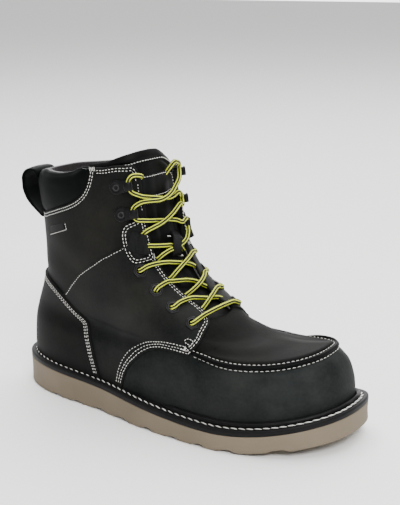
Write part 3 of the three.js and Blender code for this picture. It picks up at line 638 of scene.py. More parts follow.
def make_web(name, color, scale=900):
    m, nt, b = nodes_of(name, color, 0.8, spec=0.15)
    w1 = tex(nt, "ShaderNodeTexWave", 420, 0)
    w1.bands_direction = "Z"
    w2 = tex(nt, "ShaderNodeTexWave", 420, 0)
    w2.bands_direction = "DIAGONAL"
    n = tex(nt, "ShaderNodeTexNoise", scale, 3)
    r = ramp(nt, n.outputs["Fac"], [(0.3, tuple(c * 0.75 for c in color)), (0.7, tuple(c * 1.3 for c in color))])
    nt.links.new(r.outputs["Color"], b.inputs["Base Color"])
    bump(nt, b, [(w1.outputs["Fac"], 0.5), (w2.outputs["Fac"], 0.5), (n.outputs["Fac"], 0.3)], 0.5, 0.0003)
    return m


M_WEB = make_web("black_webbing", (0.0045, 0.0047, 0.005))


def make_lining():
    m, nt, b = nodes_of("lining_fleece", (0.05, 0.045, 0.04), 0.95, spec=0.15)
    n1 = tex(nt, "ShaderNodeTexNoise", 700, 5, Roughness=0.7)
    n2 = tex(nt, "ShaderNodeTexNoise", 60, 3)
    f = math_node(nt, "ADD", math_node(nt, "MULTIPLY", n1.outputs["Fac"], 0.65), math_node(nt, "MULTIPLY", n2.outputs["Fac"], 0.35))
    r = ramp(nt, f, [(0.35, (0.010, 0.0085, 0.0090)), (0.65, (0.034, 0.028, 0.028))])
    nt.links.new(r.outputs["Color"], b.inputs["Base Color"])
    b.inputs["Sheen Weight"].default_value = 0.5
    b.inputs["Sheen Roughness"].default_value = 0.5
    bump(nt, b, [(n1.outputs["Fac"], 1.0)], 0.9, 0.0009)
    return m


M_LINING = make_lining()


def make_lace():
    """Round braid: black tracers between yellow strands, from the pattern coordinates
    (u once round the cord, v millimetres along it)."""
    m, nt, b = nodes_of("lace_braid", (0.6, 0.58, 0.2), 0.75, spec=0.25)
    uvn = nt.nodes.new("ShaderNodeUVMap")
    uvn.uv_map = "pattern"
    sep = nt.nodes.new("ShaderNodeSeparateXYZ")
    nt.links.new(uvn.outputs["UV"], sep.inputs[0])
    u, v = sep.outputs[0], sep.outputs[1]
    # zigzag edge of the tracer, one tooth per pick
    saw = math_node(nt, "PINGPONG", math_node(nt, "MULTIPLY", v, 1 / 1.15), 0.5)
    ang = math_node(nt, "MULTIPLY", u, 5.0)
    ang = math_node(nt, "PINGPONG", ang, 0.5)           # 0 on a tracer's line, 0.5 on a strand's
    edge = math_node(nt, "ADD", 0.285, math_node(nt, "MULTIPLY", saw, 0.13))
    fac = math_node(nt, "MULTIPLY", math_node(nt, "SUBTRACT", ang, edge), 14.0)
    fac = math_node(nt, "ADD", fac, 0.5)
    cl = nt.nodes.new("ShaderNodeClamp")
    nt.links.new(fac, cl.inputs[0])
    n1 = tex(nt, "ShaderNodeTexNoise", 1500, 3)
    yel = ramp(nt, n1.outputs["Fac"], [(0.3, (0.50, 0.56, 0.014)), (0.7, (0.76, 0.82, 0.05))])
    mix = nt.nodes.new("ShaderNodeMix")
    mix.data_type = "RGBA"
    mix.inputs["A"].default_value = (0.012, 0.013, 0.010, 1)
    nt.links.new(cl.outputs[0], mix.inputs["Factor"])
    nt.links.new(yel.outputs["Color"], mix.inputs["B"])
    nt.links.new(mix.outputs["Result"], b.inputs["Base Color"])
    bump(nt, b, [(n1.outputs["Fac"], 0.5), (saw, 0.8)], 0.4, 0.0002)
    return m


M_LACE = make_lace()

# ------------------------------------------------------------------ outsole
def ring_plan(t, dist, step=0.8):
    """Plan outline at row t moved out by dist, evenly spaced; gives points, normals, angles."""
    ph = np.linspace(0, 360, 2881)[:-1]
    p = P(t, ph)
    s = np.concatenate([[0], np.cumsum(np.linalg.norm(np.diff(np.vstack([p, p[:1]])[:, :2], axis=0), axis=1))])
    n = int(s[-1] / step)
    phs = np.interp(np.linspace(0, s[-1], n, endpoint=False), s, np.append(ph, 360))
    a = P(t, phs + 0.4) - P(t, phs - 0.4)
    nn = unit(np.stack([a[:, 1], -a[:, 0]], -1))
    for _ in range(6):
        nn = unit(nn + np.roll(nn, 1, 0) + np.roll(nn, -1, 0))
    q = P(t, phs)[:, :2]
    d = dist(phs) if callable(dist) else np.full(len(phs), float(dist))
    return q + nn * d[:, None], nn, phs


TREAD = [(-158, 2.2), (-150, 0.25), (-147, 0)]
for a, b, rise in ((-111.5, -95.2, 1.8), (-87.3, -71.4, 1.75), (-61.5, -44.4, 2.0), (-35, -16.4, 2.2), (-5.3, 9.4, 2.2), (20.6, 34.9, 1.9), (45.6, 59.6, 2.1)):
    for u, k in ((0, 0), (.08, .08), (.2, .42), (.3, .72), (.42, .92), (.55, 1), (.68, .97), (.78, .82), (.87, .5), (.93, .2), (.97, .04), (1, 0)):
        TREAD.append((a + (b - a) * u, rise * k))
TREAD += [(67.6, 0), (70, .5), (72.5, 1.5), (75, 2.2), (79, 2.55), (81, 2.3), (82.6, 1.4), (83.6, .95), (85, .95), (90, 1.3), (95, 1.9), (100, 2.6), (106, 3.7), (108.4, 4.3),
          (110, 5.4), (112, 6.0), (116, 6.7), (119.3, 6.8), (120.6, 6.3), (122, 5.6), (124, 5.8), (130, 7.0), (137, 8.3), (145, 9.8), (151, 10.8), (158, 11.6)]
tread = line(TREAD)


def build_outsole():
    out, nn, phs = ring_plan(0.4, flange)
    x = out[:, 0]
    top, bot = sole_top(x), tread(x)
    rows = []
    # top inner edge, top outer edge, then down the side
    rows.append(np.column_stack([out - nn * 7.0, sole_top((out - nn * 7)[:, 0]) - 0.1]))
    rows.append(np.column_stack([out - nn * 0.5, sole_top((out - nn * .5)[:, 0])]))
    rows.append(np.column_stack([out - nn * 0.1, top - 0.25]))
    for u in (0.06, 0.2, 0.4, 0.6, 0.8):
        rows.append(np.column_stack([out - nn * (0.35 * math.sin(math.pi * u)), top + (bot + 1.3 - top) * u]))
    R = 1.3
    for a in (0, 22, 45, 68, 90):
        ca, sa = math.cos(math.radians(a)), math.sin(math.radians(a))
        q = out - nn * (R * (1 - ca))
        rows.append(np.column_stack([q, tread(q[:, 0]) + R * (1 - sa)]))
    edge = out - nn * R
    cx = np.clip(edge[:, 0], -118, 108)
    cy = 0.5 * (np.interp(cx, *sorted_side(edge, -1)) + np.interp(cx, *sorted_side(edge, 1)))
    for u in (0.12, 0.35, 0.7, 1.0):
        q = edge * (1 - u) + np.column_stack([cx, cy]) * u
        rows.append(np.column_stack([q, tread(q[:, 0])]))
    v = np.vstack(rows)
    f = grid_quads(len(rows), len(out), wrap=True)[:, ::-1]
    o = mesh("outsole_rubber", v, [f], M_SOLE)
    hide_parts("outsole")


def sorted_side(pts, sgn):
    mid = np.interp(pts[:, 0], [-150, 0, 60, 150], [0, 0, 4, 17])
    m = (pts[:, 1] - mid) * sgn > 0
    p = pts[m]
    k = np.argsort(p[:, 0])
    return p[k, 0], p[k, 1]


build_outsole()

# ------------------------------------------------------------------ welt, rib and lockstitch
def build_welt():
    inner, nn, phs = ring_plan(0.3, 0.0, 0.9)
    fl = flange(phs) - 0.3
    prof = [(-1.0, 0.0, 0), (1.0, 0.0, 0.0), (1.0, 0.12, 0.35), (1.0, 0.28, 1.0), (1.0, 0.3, 2.6), (1.0, 0.2, 3.7), (1.0, -0.15, 4.3), (1.0, -0.7, 4.62),
            (1.0, -1.3, 4.7), (1.0, -3.1, 4.74), (1.0, -3.7, 4.62), (1.0, -4.1, 4.3), (1.0, -4.6, 4.16), (1.0, -5.1, 4.3), (1.0, -5.5, 4.62), (1.0, -6.1, 4.7)]
    rows = []
    for k, d, h in prof:
        out = np.where(k < 0, 0.0, fl + d)
        out = np.maximum(out, -0.8)
        q = inner + nn * out[:, None]
        rows.append(np.column_stack([q, sole_top(q[:, 0]) + 0.05 + h]))
    q = inner - nn * 2.0
    rows.append(np.column_stack([q, sole_top(q[:, 0]) + 4.6]))
    f = grid_quads(len(rows), len(inner), wrap=True)
    o = mesh("welt_strip", np.vstack(rows), [f], M_WELT)
    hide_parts("welt")
    # storm rib: a bead lying against the upper, its ends running out
    x = inner[:, 0]
    on = np.clip((x - 2) / 26, 0, 1)
    on = on * on * (3 - 2 * on)
    ang = np.radians(np.arange(0, 360, 24))
    k = on > 0
    st = int(np.argmax(k & ~np.roll(k, 1)))
    idx = (st + np.arange(k.sum())) % len(x)
    rr = []
    wob = 1 + 0.03 * np.sin(np.arange(len(idx)) * 0.35) + 0.02 * np.sin(np.arange(len(idx)) * 0.113 + 1)
    for a in ang:
        s = on[idx] * wob
        out = 1.75 * s + 2.0 * s * math.cos(a) - (1 - s) * 1.5
        hh = 4.7 + 1.1 * s + 2.3 * s * math.sin(a)
        q = inner[idx] + nn[idx] * out[:, None]
        rr.append(np.column_stack([q, sole_top(q[:, 0]) + 0.05 + hh]))
    v = np.stack(rr, 1).reshape(-1, 3)
    o = mesh("storm_rib", v, [grid_quads(len(idx), len(ang), wrap=True)[:, ::-1]], M_RIB)
    # lockstitch: long twisted strands in the groove
    path = inner + nn * (fl - 4.6)[:, None]
    path = np.column_stack([path, sole_top(path[:, 0]) + 0.05 + 4.25])
    d = np.linalg.norm(np.diff(np.vstack([path, path[:1]]), axis=0), axis=1)
    s = np.concatenate([[0], np.cumsum(d)])
    n = int(round(s[-1] / 6.3))
    full = np.vstack([path, path[:1]])
    nf = np.vstack([nn, nn[:1]])
    V, F, c0 = [], [], 0
    us = np.linspace(-0.5, 0.5, 11)
    toe = line([[-160, .8], [60, .8], [115, 1.08], [160, 1.08]])    # the stitches stand out more round the toe
    rad = 0.54 * (1 - np.abs(us * 2) ** 2.0) ** 0.7 + 0.06
    an = np.arange(8) * math.pi / 4
    for i in range(n):
        q = np.mod((i + 0.5) * s[-1] / n + us * 6.7, s[-1])
        c = np.stack([np.interp(q, s, full[:, a]) for a in range(3)], -1)
        m = np.stack([np.interp(q, s, nf[:, a]) for a in range(2)], -1)
        m = np.column_stack([m, np.zeros(len(q))])
        c = c + m * (us * 2.0)[:, None] + np.array([0, 0, 1]) * (0.42 - 1.3 * np.abs(us) ** 2.2)[:, None]
        rk = rad * toe(c[:, 0])
        ring = c[:, None] + m[:, None] * (np.cos(an)[None, :, None] * rk[:, None, None]) + np.array([0, 0, 1.0]) * (np.sin(an)[None, :, None] * rk[:, None, None] * 0.8)
        V.append(ring.reshape(-1, 3))
        F.append(grid_quads(len(us), 8, wrap=True, start=c0))
        c0 += len(us) * 8
    mesh("welt_lockstitch", np.vstack(V), [np.vstack(F)], M_THREAD)


build_welt()

# ------------------------------------------------------------------ vamp with the raised moc seam
VAMP = -0.35
MOC_H = 2.5
ROW_UP, ROW_DOWN = 3.15, 1.8
# stitch rows of the raised seam as they were read on the lateral side: plug row, wall row
MOC_ROWS = [((3.59, 90.6), (2.925, 85.5)), ((3.511, 91.4), (2.77, 87.1)), ((3.363, 91.3), (2.677, 88.5)), ((3.206, 91.3), (2.608, 89.9)),
            ((3.156, 94.0), (2.574, 92.0)), ((3.134, 98.0), (2.591, 95.6)), ((3.155, 103.0), (2.635, 101.0))]


def moc_line(step=0.9):
    """Middle line of the raised seam from the lateral waist round the toe to the medial waist."""
    pts = [(3.33, -52.0), (3.36, -20.0), (3.36, 8.0), (3.33, 27.0)]
    for a, b in MOC_ROWS:
        q = flat_side(np.array([a, b]))
        pts.append(((a[0] + b[0]) / 2, q[:, 0].mean()))
    pts.append((2.94, float(P(2.94, 110)[0])))
    pts.append((2.955, float(P(2.955, 118)[0])))
    pts = np.array(pts)
    lat = side_curve(np.stack([pts[:, 0], phi_of(pts[:, 0], pts[:, 1])], -1), 0.5)
    lat = lat[lat[:, 1] < 112]
    mid = smooth_curve([(2.94, 110), (2.96, 120), (2.975, 130), (2.97, 150), (2.985, 180), (3.03, 190), (3.13, 199), (3.25, 209), (3.31, 219), (3.27, 231), (3.12, 242), (2.97, 250)], 0.5)
    mid = mid[(mid[:, 1] > 112.3) & (mid[:, 1] < 247.7)]
    med = np.column_stack([lat[:, 0], 360 - lat[:, 1]])[::-1]
    c = np.vstack([lat, mid, med])
    for _ in range(14):
        c[1:-1] = (c[:-2] + 2 * c[1:-1] + c[2:]) / 4
    return resample(c, step)


MOC = moc_line()
_mx = P(MOC[:, 0], MOC[:, 1])[:, 0]
MOC_ON = np.clip((_mx - 37.5) / 7.0, 0, 1)
MOC_ON = MOC_ON * MOC_ON * (3 - 2 * MOC_ON)


def moc_profile(s, on):
    """Height of the raised seam at s mm from its middle line."""
    a = np.abs(s - 0.7)
    ridge = MOC_H * np.clip(1 - (a / 1.95) ** 2.6, 0, 1) ** 0.55
    groove = -0.45 * np.exp(-(a / 0.3) ** 2)
    rows = -0.38 * np.exp(-((np.where(s > 0, s - ROW_UP, -s - ROW_DOWN)) / 0.6) ** 2)
    puff = 0.3 * np.exp(-((np.abs(s) - 6.0) / 2.0) ** 2)
    return (ridge + groove * (ridge > 1) + rows + puff) * on


def sink(t, phi):
    """The far side of the toe lies a little lower inside its seam than the plain section."""
    a = np.clip((np.mod(phi, 360) - 183) / 20, 0, 1) * np.clip((268 - np.mod(phi, 360)) / 22, 0, 1)
    b = np.clip((t - 1.6) / 1.2, 0, 1) * np.clip((5.2 - t) / 1.4, 0, 1)
    return -1.7 * a * a * (3 - 2 * a) * b * b * (3 - 2 * b)


def soft_lines(x, items):
    """Sum of soft troughs and ridges: each item is a 3-D polyline, a half width and a height."""
    h = np.zeros(len(x))
    for poly, w, amp in items:
        lo, hi = poly.min(0) - 3 * w, poly.max(0) + 3 * w
        near = ((x > lo) & (x < hi)).all(1)
        if not near.any():
            continue
        d, seg = dist_to(poly, x[near], closed=False)
        k = seg / max(len(poly) - 2, 1)
        h[near] += amp * np.exp(-(d / w) ** 2) * np.clip(np.minimum(k, 1 - k) * 5 + 0.25, 0, 1)
    return h


def on_face(points):
    """3-D polyline through (t, phi) points."""
    c = smooth_curve(points, 1.5)
    return P(c[:, 0], c[:, 1])


def build_vamp():
    mm_up = [.3, .6, .85, 1.05, 1.25, 1.5, 1.8, 2.1, 2.4, 2.65, 2.85, 3.15, 3.45, 3.85, 4.4, 5.2, 6.3, 8.0, 10.2, 13]

    def fan(sgn):
        cur, done, out = MOC.copy(), 0.0, []
        for d in mm_up:
            cur = side(cur, sgn * (d - done), smooth=3)
            done = d
            out.append(cur)
        return out
    up, dn = fan(1), fan(-1)
    cols = len(MOC)
    T, F, S = [], [], []
    last = dn[-1]
    for u in np.linspace(0, 1, 22)[:-1]:
        T.append(last[:, 0] * u); F.append(last[:, 1]); S.append(np.full(cols, -99.0))
    for d, c in zip(mm_up[::-1], dn[::-1]):
        T.append(c[:, 0]); F.append(c[:, 1]); S.append(np.full(cols, -d))
    T.append(MOC[:, 0]); F.append(MOC[:, 1]); S.append(np.zeros(cols))
    for d, c in zip(mm_up, up):
        T.append(c[:, 0]); F.append(c[:, 1]); S.append(np.full(cols, d))
    top = up[-1]
    # the plug runs on to the throat; its columns draw together there
    f1 = 180 + (top[:, 1] - 180) * 0.62
    f1 = np.where(np.abs(f1 - 180) < 52, f1, 180 + np.sign(f1 - 180) * 52)
    t_end = np.interp(f1, [120, 150, 164, 180, 196, 210, 240], [5.7, 6.25, 6.12, 6.1, 6.12, 6.25, 5.7])
    for u in np.linspace(0, 1, 25)[1:]:
        T.append(top[:, 0] + (t_end - top[:, 0]) * u); F.append(top[:, 1] + (f1 - top[:, 1]) * u ** 1.2); S.append(np.full(cols, 99.0))
    T, F, S = np.array(T), np.array(F), np.array(S)
    x = P(T, F).reshape(-1, 3)
    lines = [(on_face(p), w, a) for p, w, a in [
        ([(4.9, 128), (4.75, 150), (4.8, 172), (4.95, 195)], 4.5, -.35), ([(5.35, 150), (5.3, 172), (5.4, 200)], 4.0, .3), ([(4.2, 150), (4.1, 180), (4.2, 212)], 5.0, -.22),
        ([(2.3, 98), (1.6, 104), (1.0, 107)], 4.0, -.25), ([(2.1, 118), (1.7, 135), (1.2, 148)], 5.0, .22), ([(1.9, 232), (1.2, 240)], 4.5, -.25)]]
    h = VAMP + sink(T, F) + moc_profile(S, MOC_ON[None]) + soft_lines(x, lines).reshape(T.shape)
    v = O(T, F, h).reshape(-1, 3)
    f = grid_quads(T.shape[0], cols)
    o = mesh("vamp_and_plug", v, [f], M_WALL)
    o.data.materials.append(M_PLUG)
    o.data.materials.append(M_RIDGE)
    mi = np.zeros(len(f), int)
    foot = 21 + len(mm_up) + 1 + mm_up.index(2.65)
    mi[foot * (cols - 1):] = 1
    mi[(20 + len(mm_up) - mm_up.index(1.25)) * (cols - 1):foot * (cols - 1)] = 2
    o.data.polygons.foreach_set("material_index", mi)
    # turned edge of the plug at the throat
    p2 = np.arange(150, 211, 1.5)
    te = np.interp(p2, [120, 150, 164, 180, 196, 210, 240], [5.7, 6.25, 6.12, 6.1, 6.12, 6.25, 5.7])
    rr = [O(te, p2, np.full(len(p2), VAMP)), O(te + 0.03, p2, np.full(len(p2), VAMP - .4)), O(te + 0.03, p2, np.full(len(p2), VAMP - 2.4)), O(te - .3, p2, np.full(len(p2), VAMP - 2.6))]
    mesh("plug_edge", np.vstack(rr), [grid_quads(4, len(p2))], M_PLUG)
    seen = MOC_ON > 0.25
    for off, pitch in ((ROW_UP, 3.7), (-ROW_DOWN, 4.1)):
        c = side(MOC, off, smooth=3)[seen]
        stitch_row(resample(c, 1.0), lambda t, p: VAMP - 0.1 + sink(t, p), pitch=pitch, r=0.24, fill=0.7)
    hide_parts("upper")


build_vamp()

# ------------------------------------------------------------------ panel outlines
WING_ROWS = [
    [(0.0, 68.0), (0.397, 68.6), (0.871, 68.9), (1.489, 69.2), (1.99, 69.9), (2.259, 70.4), (2.506, 71.0), (2.977, 72.1), (3.513, 78.0), (3.964, 87.1), (4.095, 91.0), (4.125, 95.2), (4.118, 99.2)],
    [(0.0, 69.0), (0.44, 69.4), (0.927, 69.9), (1.502, 70.5), (1.955, 71.4), (2.44, 72.3), (2.877, 73.3), (3.223, 76.0), (3.602, 82.3), (3.72, 86.4), (3.78, 89.4), (3.80, 92.0)],
    [(0.0, 69.8), (0.497, 70.2), (0.965, 70.7), (1.526, 71.4), (1.964, 72.6), (2.414, 73.5), (2.809, 74.6), (3.103, 76.7), (3.215, 79.5), (3.25, 81.6), (3.24, 83.3), (3.21, 84.9)]]
FRONT_LOW = [(3.58, 88.9), (3.907, 95.8), (4.374, 108.3), (4.779, 118.9), (5.327, 131.2), (5.672, 140.3), (5.85, 146.2)]
FRONT_ROW = [(5.327, 131.2), (5.672, 140.3), (5.921, 148.7), (6.086, 153.2), (6.25, 156.8), (6.40, 159.4), (6.52, 160.0), (6.73, 159.2), (6.97, 156.7), (7.18, 153.8), (7.44, 150.0), (7.7, 147.4), (7.94, 146.2),
             (8.30, 145.6), (8.70, 145.6), (9.08, 145.4), (9.24, 144.2), (9.37, 143.1), (9.52, 142.0), (9.66, 141.2), (9.79, 139.2), (9.89, 135.8), (9.965, 130.2)]
SEAM_ROW = [(4.20, 42.0), (4.38, 45.3), (5.29, 55.2), (6.08, 64.5), (6.67, 73.4), (7.22, 83.2), (7.56, 92.3), (7.86, 105.9), (8.11, 119.3), (8.22, 130), (8.26, 150)]
COUNTER_ROW = [(0.0, 61.4), (0.55, 60.4), (1.12, 58.5), (1.95, 55.2), (2.73, 51.9), (3.43, 48.9), (3.98, 44.6), (4.31, 37.0), (4.43, 26.0), (4.46, 12.0), (4.46, 0.0)]
COLLAR_ROW = [(7.60, 0.0), (7.62, 15), (7.70, 30.0), (7.95, 41.6), (8.28, 55.0), (8.54, 65.0), (8.76, 71.4), (9.02, 76.4), (9.32, 80.2), (9.62, 82.6), (9.86, 83.8), (10.02, 84.2)]
PATCH_ROW = [(7.90, 145.0), (7.81, 134.9), (7.67, 120.5), (7.665, 117.0), (7.79, 113.6), (7.96, 112.2), (8.14, 111.6), (8.35, 112.2), (8.55, 116.4), (8.76, 130.7), (8.92, 143.0)]

EDGE1 = 2.2          # first row from an edge
wing_rows = [side_curve(r) for r in WING_ROWS]
_low, _high = side_curve(FRONT_LOW), smooth_curve(FRONT_ROW)
front_row = np.vstack([_low[_low[:, 0] < 5.5], _high[_high[:, 0] > 5.53]])
seam_row = smooth_curve(SEAM_ROW)
counter_row, collar_row = smooth_curve(COUNTER_ROW), smooth_curve(COLLAR_ROW)


def cut(tp, a, b):
    return tp[(tp[:, 0] >= a) & (tp[:, 0] <= b)]


def join_lines(a, b):
    """Two curves in one, each cut where they come nearest to crossing."""
    A, B = P(a[:, 0], a[:, 1]), P(b[:, 0], b[:, 1])
    d = np.linalg.norm(A[:, None] - B[None], axis=-1)
    i, j = np.unravel_index(d.argmin(), d.shape)
    return np.vstack([a[:i + 1], b[j + 1:]])


def even(loop, step=1.1):
    """Evenly spaced closed outline with softened corners."""
    p = np.vstack([loop, loop[:1]])
    keep = np.concatenate([[True], np.linalg.norm(np.diff(P(p[:, 0], p[:, 1]), axis=0), axis=1) > 1e-3])
    p = resample(p[keep], step)[:-1]
    for _ in range(2):
        p = (np.roll(p, 1, 0) + 2 * p + np.roll(p, -1, 0)) / 4
    return p


def rows_near(loop, tests):
    """For each outline point the stitch rows' distances from the edge; tests: (curve, reach, rows)."""
    x = P(loop[:, 0], loop[:, 1])
    out = np.full((len(loop), 3), np.nan)
    for curve, reach, rows in tests:
        d, _ = dist_to(P(curve[:, 0], curve[:, 1]), x, closed=False)
        for k, r in enumerate(rows):
            out[d < reach, k] = r
    return out


# The rows are measured; the leather's edge runs outside them.
wing_edge = side(wing_rows[2], -2.3)
front_edge = side(front_row, -(1.0 + EDGE1))
seam_edge = side(seam_row, 1.7)
counter_edge = side(counter_row, -4.0)
collar_edge = side(collar_row, 1.1 + 1.9)
QUARTER_H, SHAFT_H, COUNTER_H = 0.95, 0.0, 2.0


def quarter_outline():
    low = join_lines(wing_edge, front_edge)
    low = low[low[:, 0] >= 0.02]
    fe = low[: int(np.argmax(low[:, 0] > 8.0)) if (low[:, 0] > 8.0).any() else len(low)]
    back = seam_edge[::-1]
    fb = back[back[:, 1] < 150]
    under = np.array([(3.6, 38.5), (2.5, 43), (1.5, 47), (0.6, 50), (0.05, 52)])
    return even(np.vstack([fe, fb, under]))


QUARTER_LINES = [(on_face(p), w, a) for p, w, a in [
    ([(6.9, 92), (6.0, 88), (5.2, 84), (4.7, 76)], 5.0, -.4), ([(6.3, 100), (5.5, 98), (4.9, 96)], 4.5, .35), ([(5.9, 118), (5.35, 112), (4.9, 106)], 4.5, -.35),
    ([(4.9, 62), (4.3, 68), (3.9, 74)], 6.5, .15), ([(2.9, 60), (2.2, 63), (1.4, 64)], 4.5, -.32), ([(3.4, 57), (2.5, 58), (1.6, 60)], 5.0, .25), ([(6.9, 118), (6.3, 126), (5.9, 131)], 4.5, .25)]]


def quarter_height(t, phi):
    t, f = np.broadcast_arrays(np.asarray(t, float), np.abs(np.asarray(phi, float)))
    x = P(t, f)
    h = QUARTER_H - 0.45 * np.clip(1 - np.abs(f - 55) / 15, 0, 1)
    return h + soft_lines(x.reshape(-1, 3), QUARTER_LINES).reshape(h.shape)


def crease_sum(t, f, items):
    h = np.zeros(np.shape(t))
    for tc, pc, st, sp, amp in items:
        h = h + amp * np.exp(-((t - tc) / st) ** 2 - ((f - pc) / sp) ** 2)
    return h


qo = quarter_outline()
for sd, name in ((1, "lateral"), (-1, "medial")):
    lp = qo if sd > 0 else mirror(qo)
    m = (lambda c: c) if sd > 0 else mirror
    back = 0.0 if sd > 0 else 14.0        # the far facing's rows lie further in
    rows = rows_near(lp, [(m(front_edge), 0.8, (EDGE1 + back, EDGE1 + 2.0 + back)), (m(wing_edge), 0.8, (EDGE1 + .1, EDGE1 + 2.3, EDGE1 + 4.6)), (m(seam_edge), 0.6, (1.7,))])
    panel(f"quarter_{name}", lp, quarter_height, M_QUARTER, rows=rows, under=1.5, edge=0.45, flat=flat_side)
    # rows of thread
    fr = cut(front_row, 3.9, 8.02)
    for part in ([fr] if sd > 0 else [cut(fr, 3.9, 5.35), cut(fr, 6.85, 8.02)]):
        for d in (1.0 + back, -1.0 + back):
            stitch_row(m(side(part, d)), lambda t, p: quarter_height(t, p) - 0.12, pitch=2.9)
    for c in wing_rows:
        stitch_row(m(resample(c[c[:, 0] > 0.38], 1.0)), lambda t, p: quarter_height(t, p) - 0.12, pitch=2.9)
    sr = seam_row[(seam_row[:, 0] > 4.42) & (seam_row[:, 1] < 112)]
    stitch_row(m(sr), lambda t, p: quarter_height(t, p) - 0.12, pitch=2.9, r=0.23, fill=0.74)


def shaft_outline():
    # lateral half from the middle of the back up the collar edge, along the top, down the facing, back underneath
    ce = collar_edge
    top_phi = np.arange(85, 123, 1.0)
    top = np.stack([top_line(top_phi), top_phi], -1)
    fr = front_edge[front_edge[:, 0] > 7.6][::-1]
    low = np.array([(7.55, 146), (7.45, 119), (7.1, 106), (6.7, 92), (6.2, 83), (5.6, 73), (5.1, 64), (4.5, 55), (4.05, 45), (3.9, 32), (3.85, 12), (3.85, 0)])
    fr = fr[(fr[:, 0] < top_line(fr[:, 1]) - 0.0) & (fr[:, 1] > 128)]
    half = np.vstack([ce[ce[:, 0] < 10.02], top, fr, low])
    return half


sh = shaft_outline()
shaft_loop = even(np.vstack([sh, mirror(sh[1:-1])[::-1]]))


def shaft_height(t, phi):
    f = np.abs(phi)
    h = SHAFT_H + crease_sum(t, f, [(6.6, 40, .45, 16, -.4), (7.1, 62, .3, 14, .35), (5.6, 30, .35, 14, .3), (5.2, 12, .3, 12, -.35), (8.4, 84, .3, 9, -.25),
                                    (7.7, 78, .22, 12, -.25), (9.2, 92, .35, 8, .25), (6.2, 56, .2, 9, -.25)])
    return h


shaft_rows = rows_near(shaft_loop, [(collar_edge, 0.8, (1.9, 4.1)), (mirror(collar_edge), 0.8, (1.9, 4.1)), (front_edge, 0.8, (EDGE1, EDGE1 + 2)), (mirror(front_edge), 0.8, (EDGE1, EDGE1 + 2)),
                                    (np.stack([top_line(np.arange(82, 128)), np.arange(82, 128.0)], -1), 0.8, (2.0, 4.2)),
                                    (np.stack([top_line(-np.arange(82, 128.0)), -np.arange(82, 128.0)], -1), 0.8, (2.0, 4.2))])
# the medial top line differs from the lateral one
med = shaft_loop[:, 1] < -80
tl_l, tl_m = top_line(np.abs(shaft_loop[:, 1])), top_line(shaft_loop[:, 1])
drop = np.where(med, (tl_l - tl_m) * np.clip((shaft_loop[:, 0] - 8.9) / (tl_l - 8.9), 0, 1), 0)
shaft_loop[:, 0] -= drop
panel("shaft", shaft_loop, shaft_height, M_LEATHER, rows=shaft_rows, under=2.5, edge=0.55)


def drop_med(tp):
    q = mirror(tp)
    a, b = top_line(np.abs(q[:, 1])), top_line(q[:, 1])
    q[:, 0] -= np.where(q[:, 1] < -80, (a - b) * np.clip((q[:, 0] - 8.9) / (a - 8.9), 0, 1), 0)
    return q


for f in (lambda c: c, drop_med):
    for d in (1.1, -1.1):
        c = side(collar_row, d)
        stitch_row(f(c[c[:, 0] < 9.99]), lambda t, p: shaft_height(t, p) - 0.12, pitch=2.9)
    # the top rows turn down into the row along the facing
    topr = front_row[front_row[:, 0] > 8.9]
    ph = np.arange(128.5, 85.5, -1.0)
    base = side(np.stack([top_line(ph), ph], -1), 3.1)
    both = np.vstack([topr[topr[:, 1] > base[0, 1] + 2.5], base])
    for _ in range(3):
        both[1:-1] = (both[:-2] + 2 * both[1:-1] + both[2:]) / 4
    both = resample(both, 1.0)
    for d in (1.05, -1.05):
        c = side(both, d)
        stitch_row(f(c[(c[:, 1] < 141.5) & (c[:, 0] > 9.64)]), lambda t, p: shaft_height(t, p) - 0.12, pitch=2.9)
    if f is not drop_med:
        c = smooth_curve([(9.60, 142.0), (9.517, 141.9), (9.367, 143.0), (9.235, 144.1), (9.076, 145.6)])
        stitch_row(c, lambda t, p: shaft_height(t, p) - 0.12, pitch=2.5, r=0.22, fill=0.72)

# heel counter
ch = counter_edge[counter_edge[:, 0] > 0.03]
counter_loop = even(np.vstack([ch, mirror(ch[:-1])[::-1], np.stack([np.full(60, 0.03), np.linspace(-62, 62, 60)], -1)]))


def counter_height(t, phi):
    f = np.abs(phi)
    return COUNTER_H + crease_sum(t, f, [(2.2, 35, .7, 14, .3), (3.3, 14, .5, 12, -.25), (1.1, 20, .4, 16, -.2)])


crow = rows_near(counter_loop, [(counter_edge, 0.8, (2.4, 4.0, 5.6)), (mirror(counter_edge), 0.8, (2.4, 4.0, 5.6))])
o = panel("heel_counter_leather", counter_loop, counter_height, M_LEATHER, rows=crow, under=1.9, edge=0.6)
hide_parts("heel_counter")
for f in (lambda c: c, mirror):
    for d in (1.6, 0.0, -1.6):
        c = side(counter_row, d)
        stitch_row(f(c[(c[:, 0] > 0.4)]), lambda t, p: counter_height(t, p) - 0.12, pitch=2.7, r=0.24, fill=0.74)

# ------------------------------------------------------------------ padded collar
_c = side(collar_row, 2.1)
_c = _c[np.concatenate([[True], np.diff(_c[:, 1]) > 1e-4]) & (_c[:, 0] < 9.97)]
_c = _c[np.argsort(_c[:, 1])]
COLLAR_END = float(_c[-1, 1]) - 0.3
COLLAR_LINE = line(np.column_stack([_c[:, 1], _c[:, 0]]))


def collar_thick(phi):
    """Thickness of the collar's top edge, thinning to the leather's own at its ends."""
    return 3.2 + 4.2 * np.clip((COLLAR_END - np.abs(phi)) / 26, 0, 1) ** 0.7


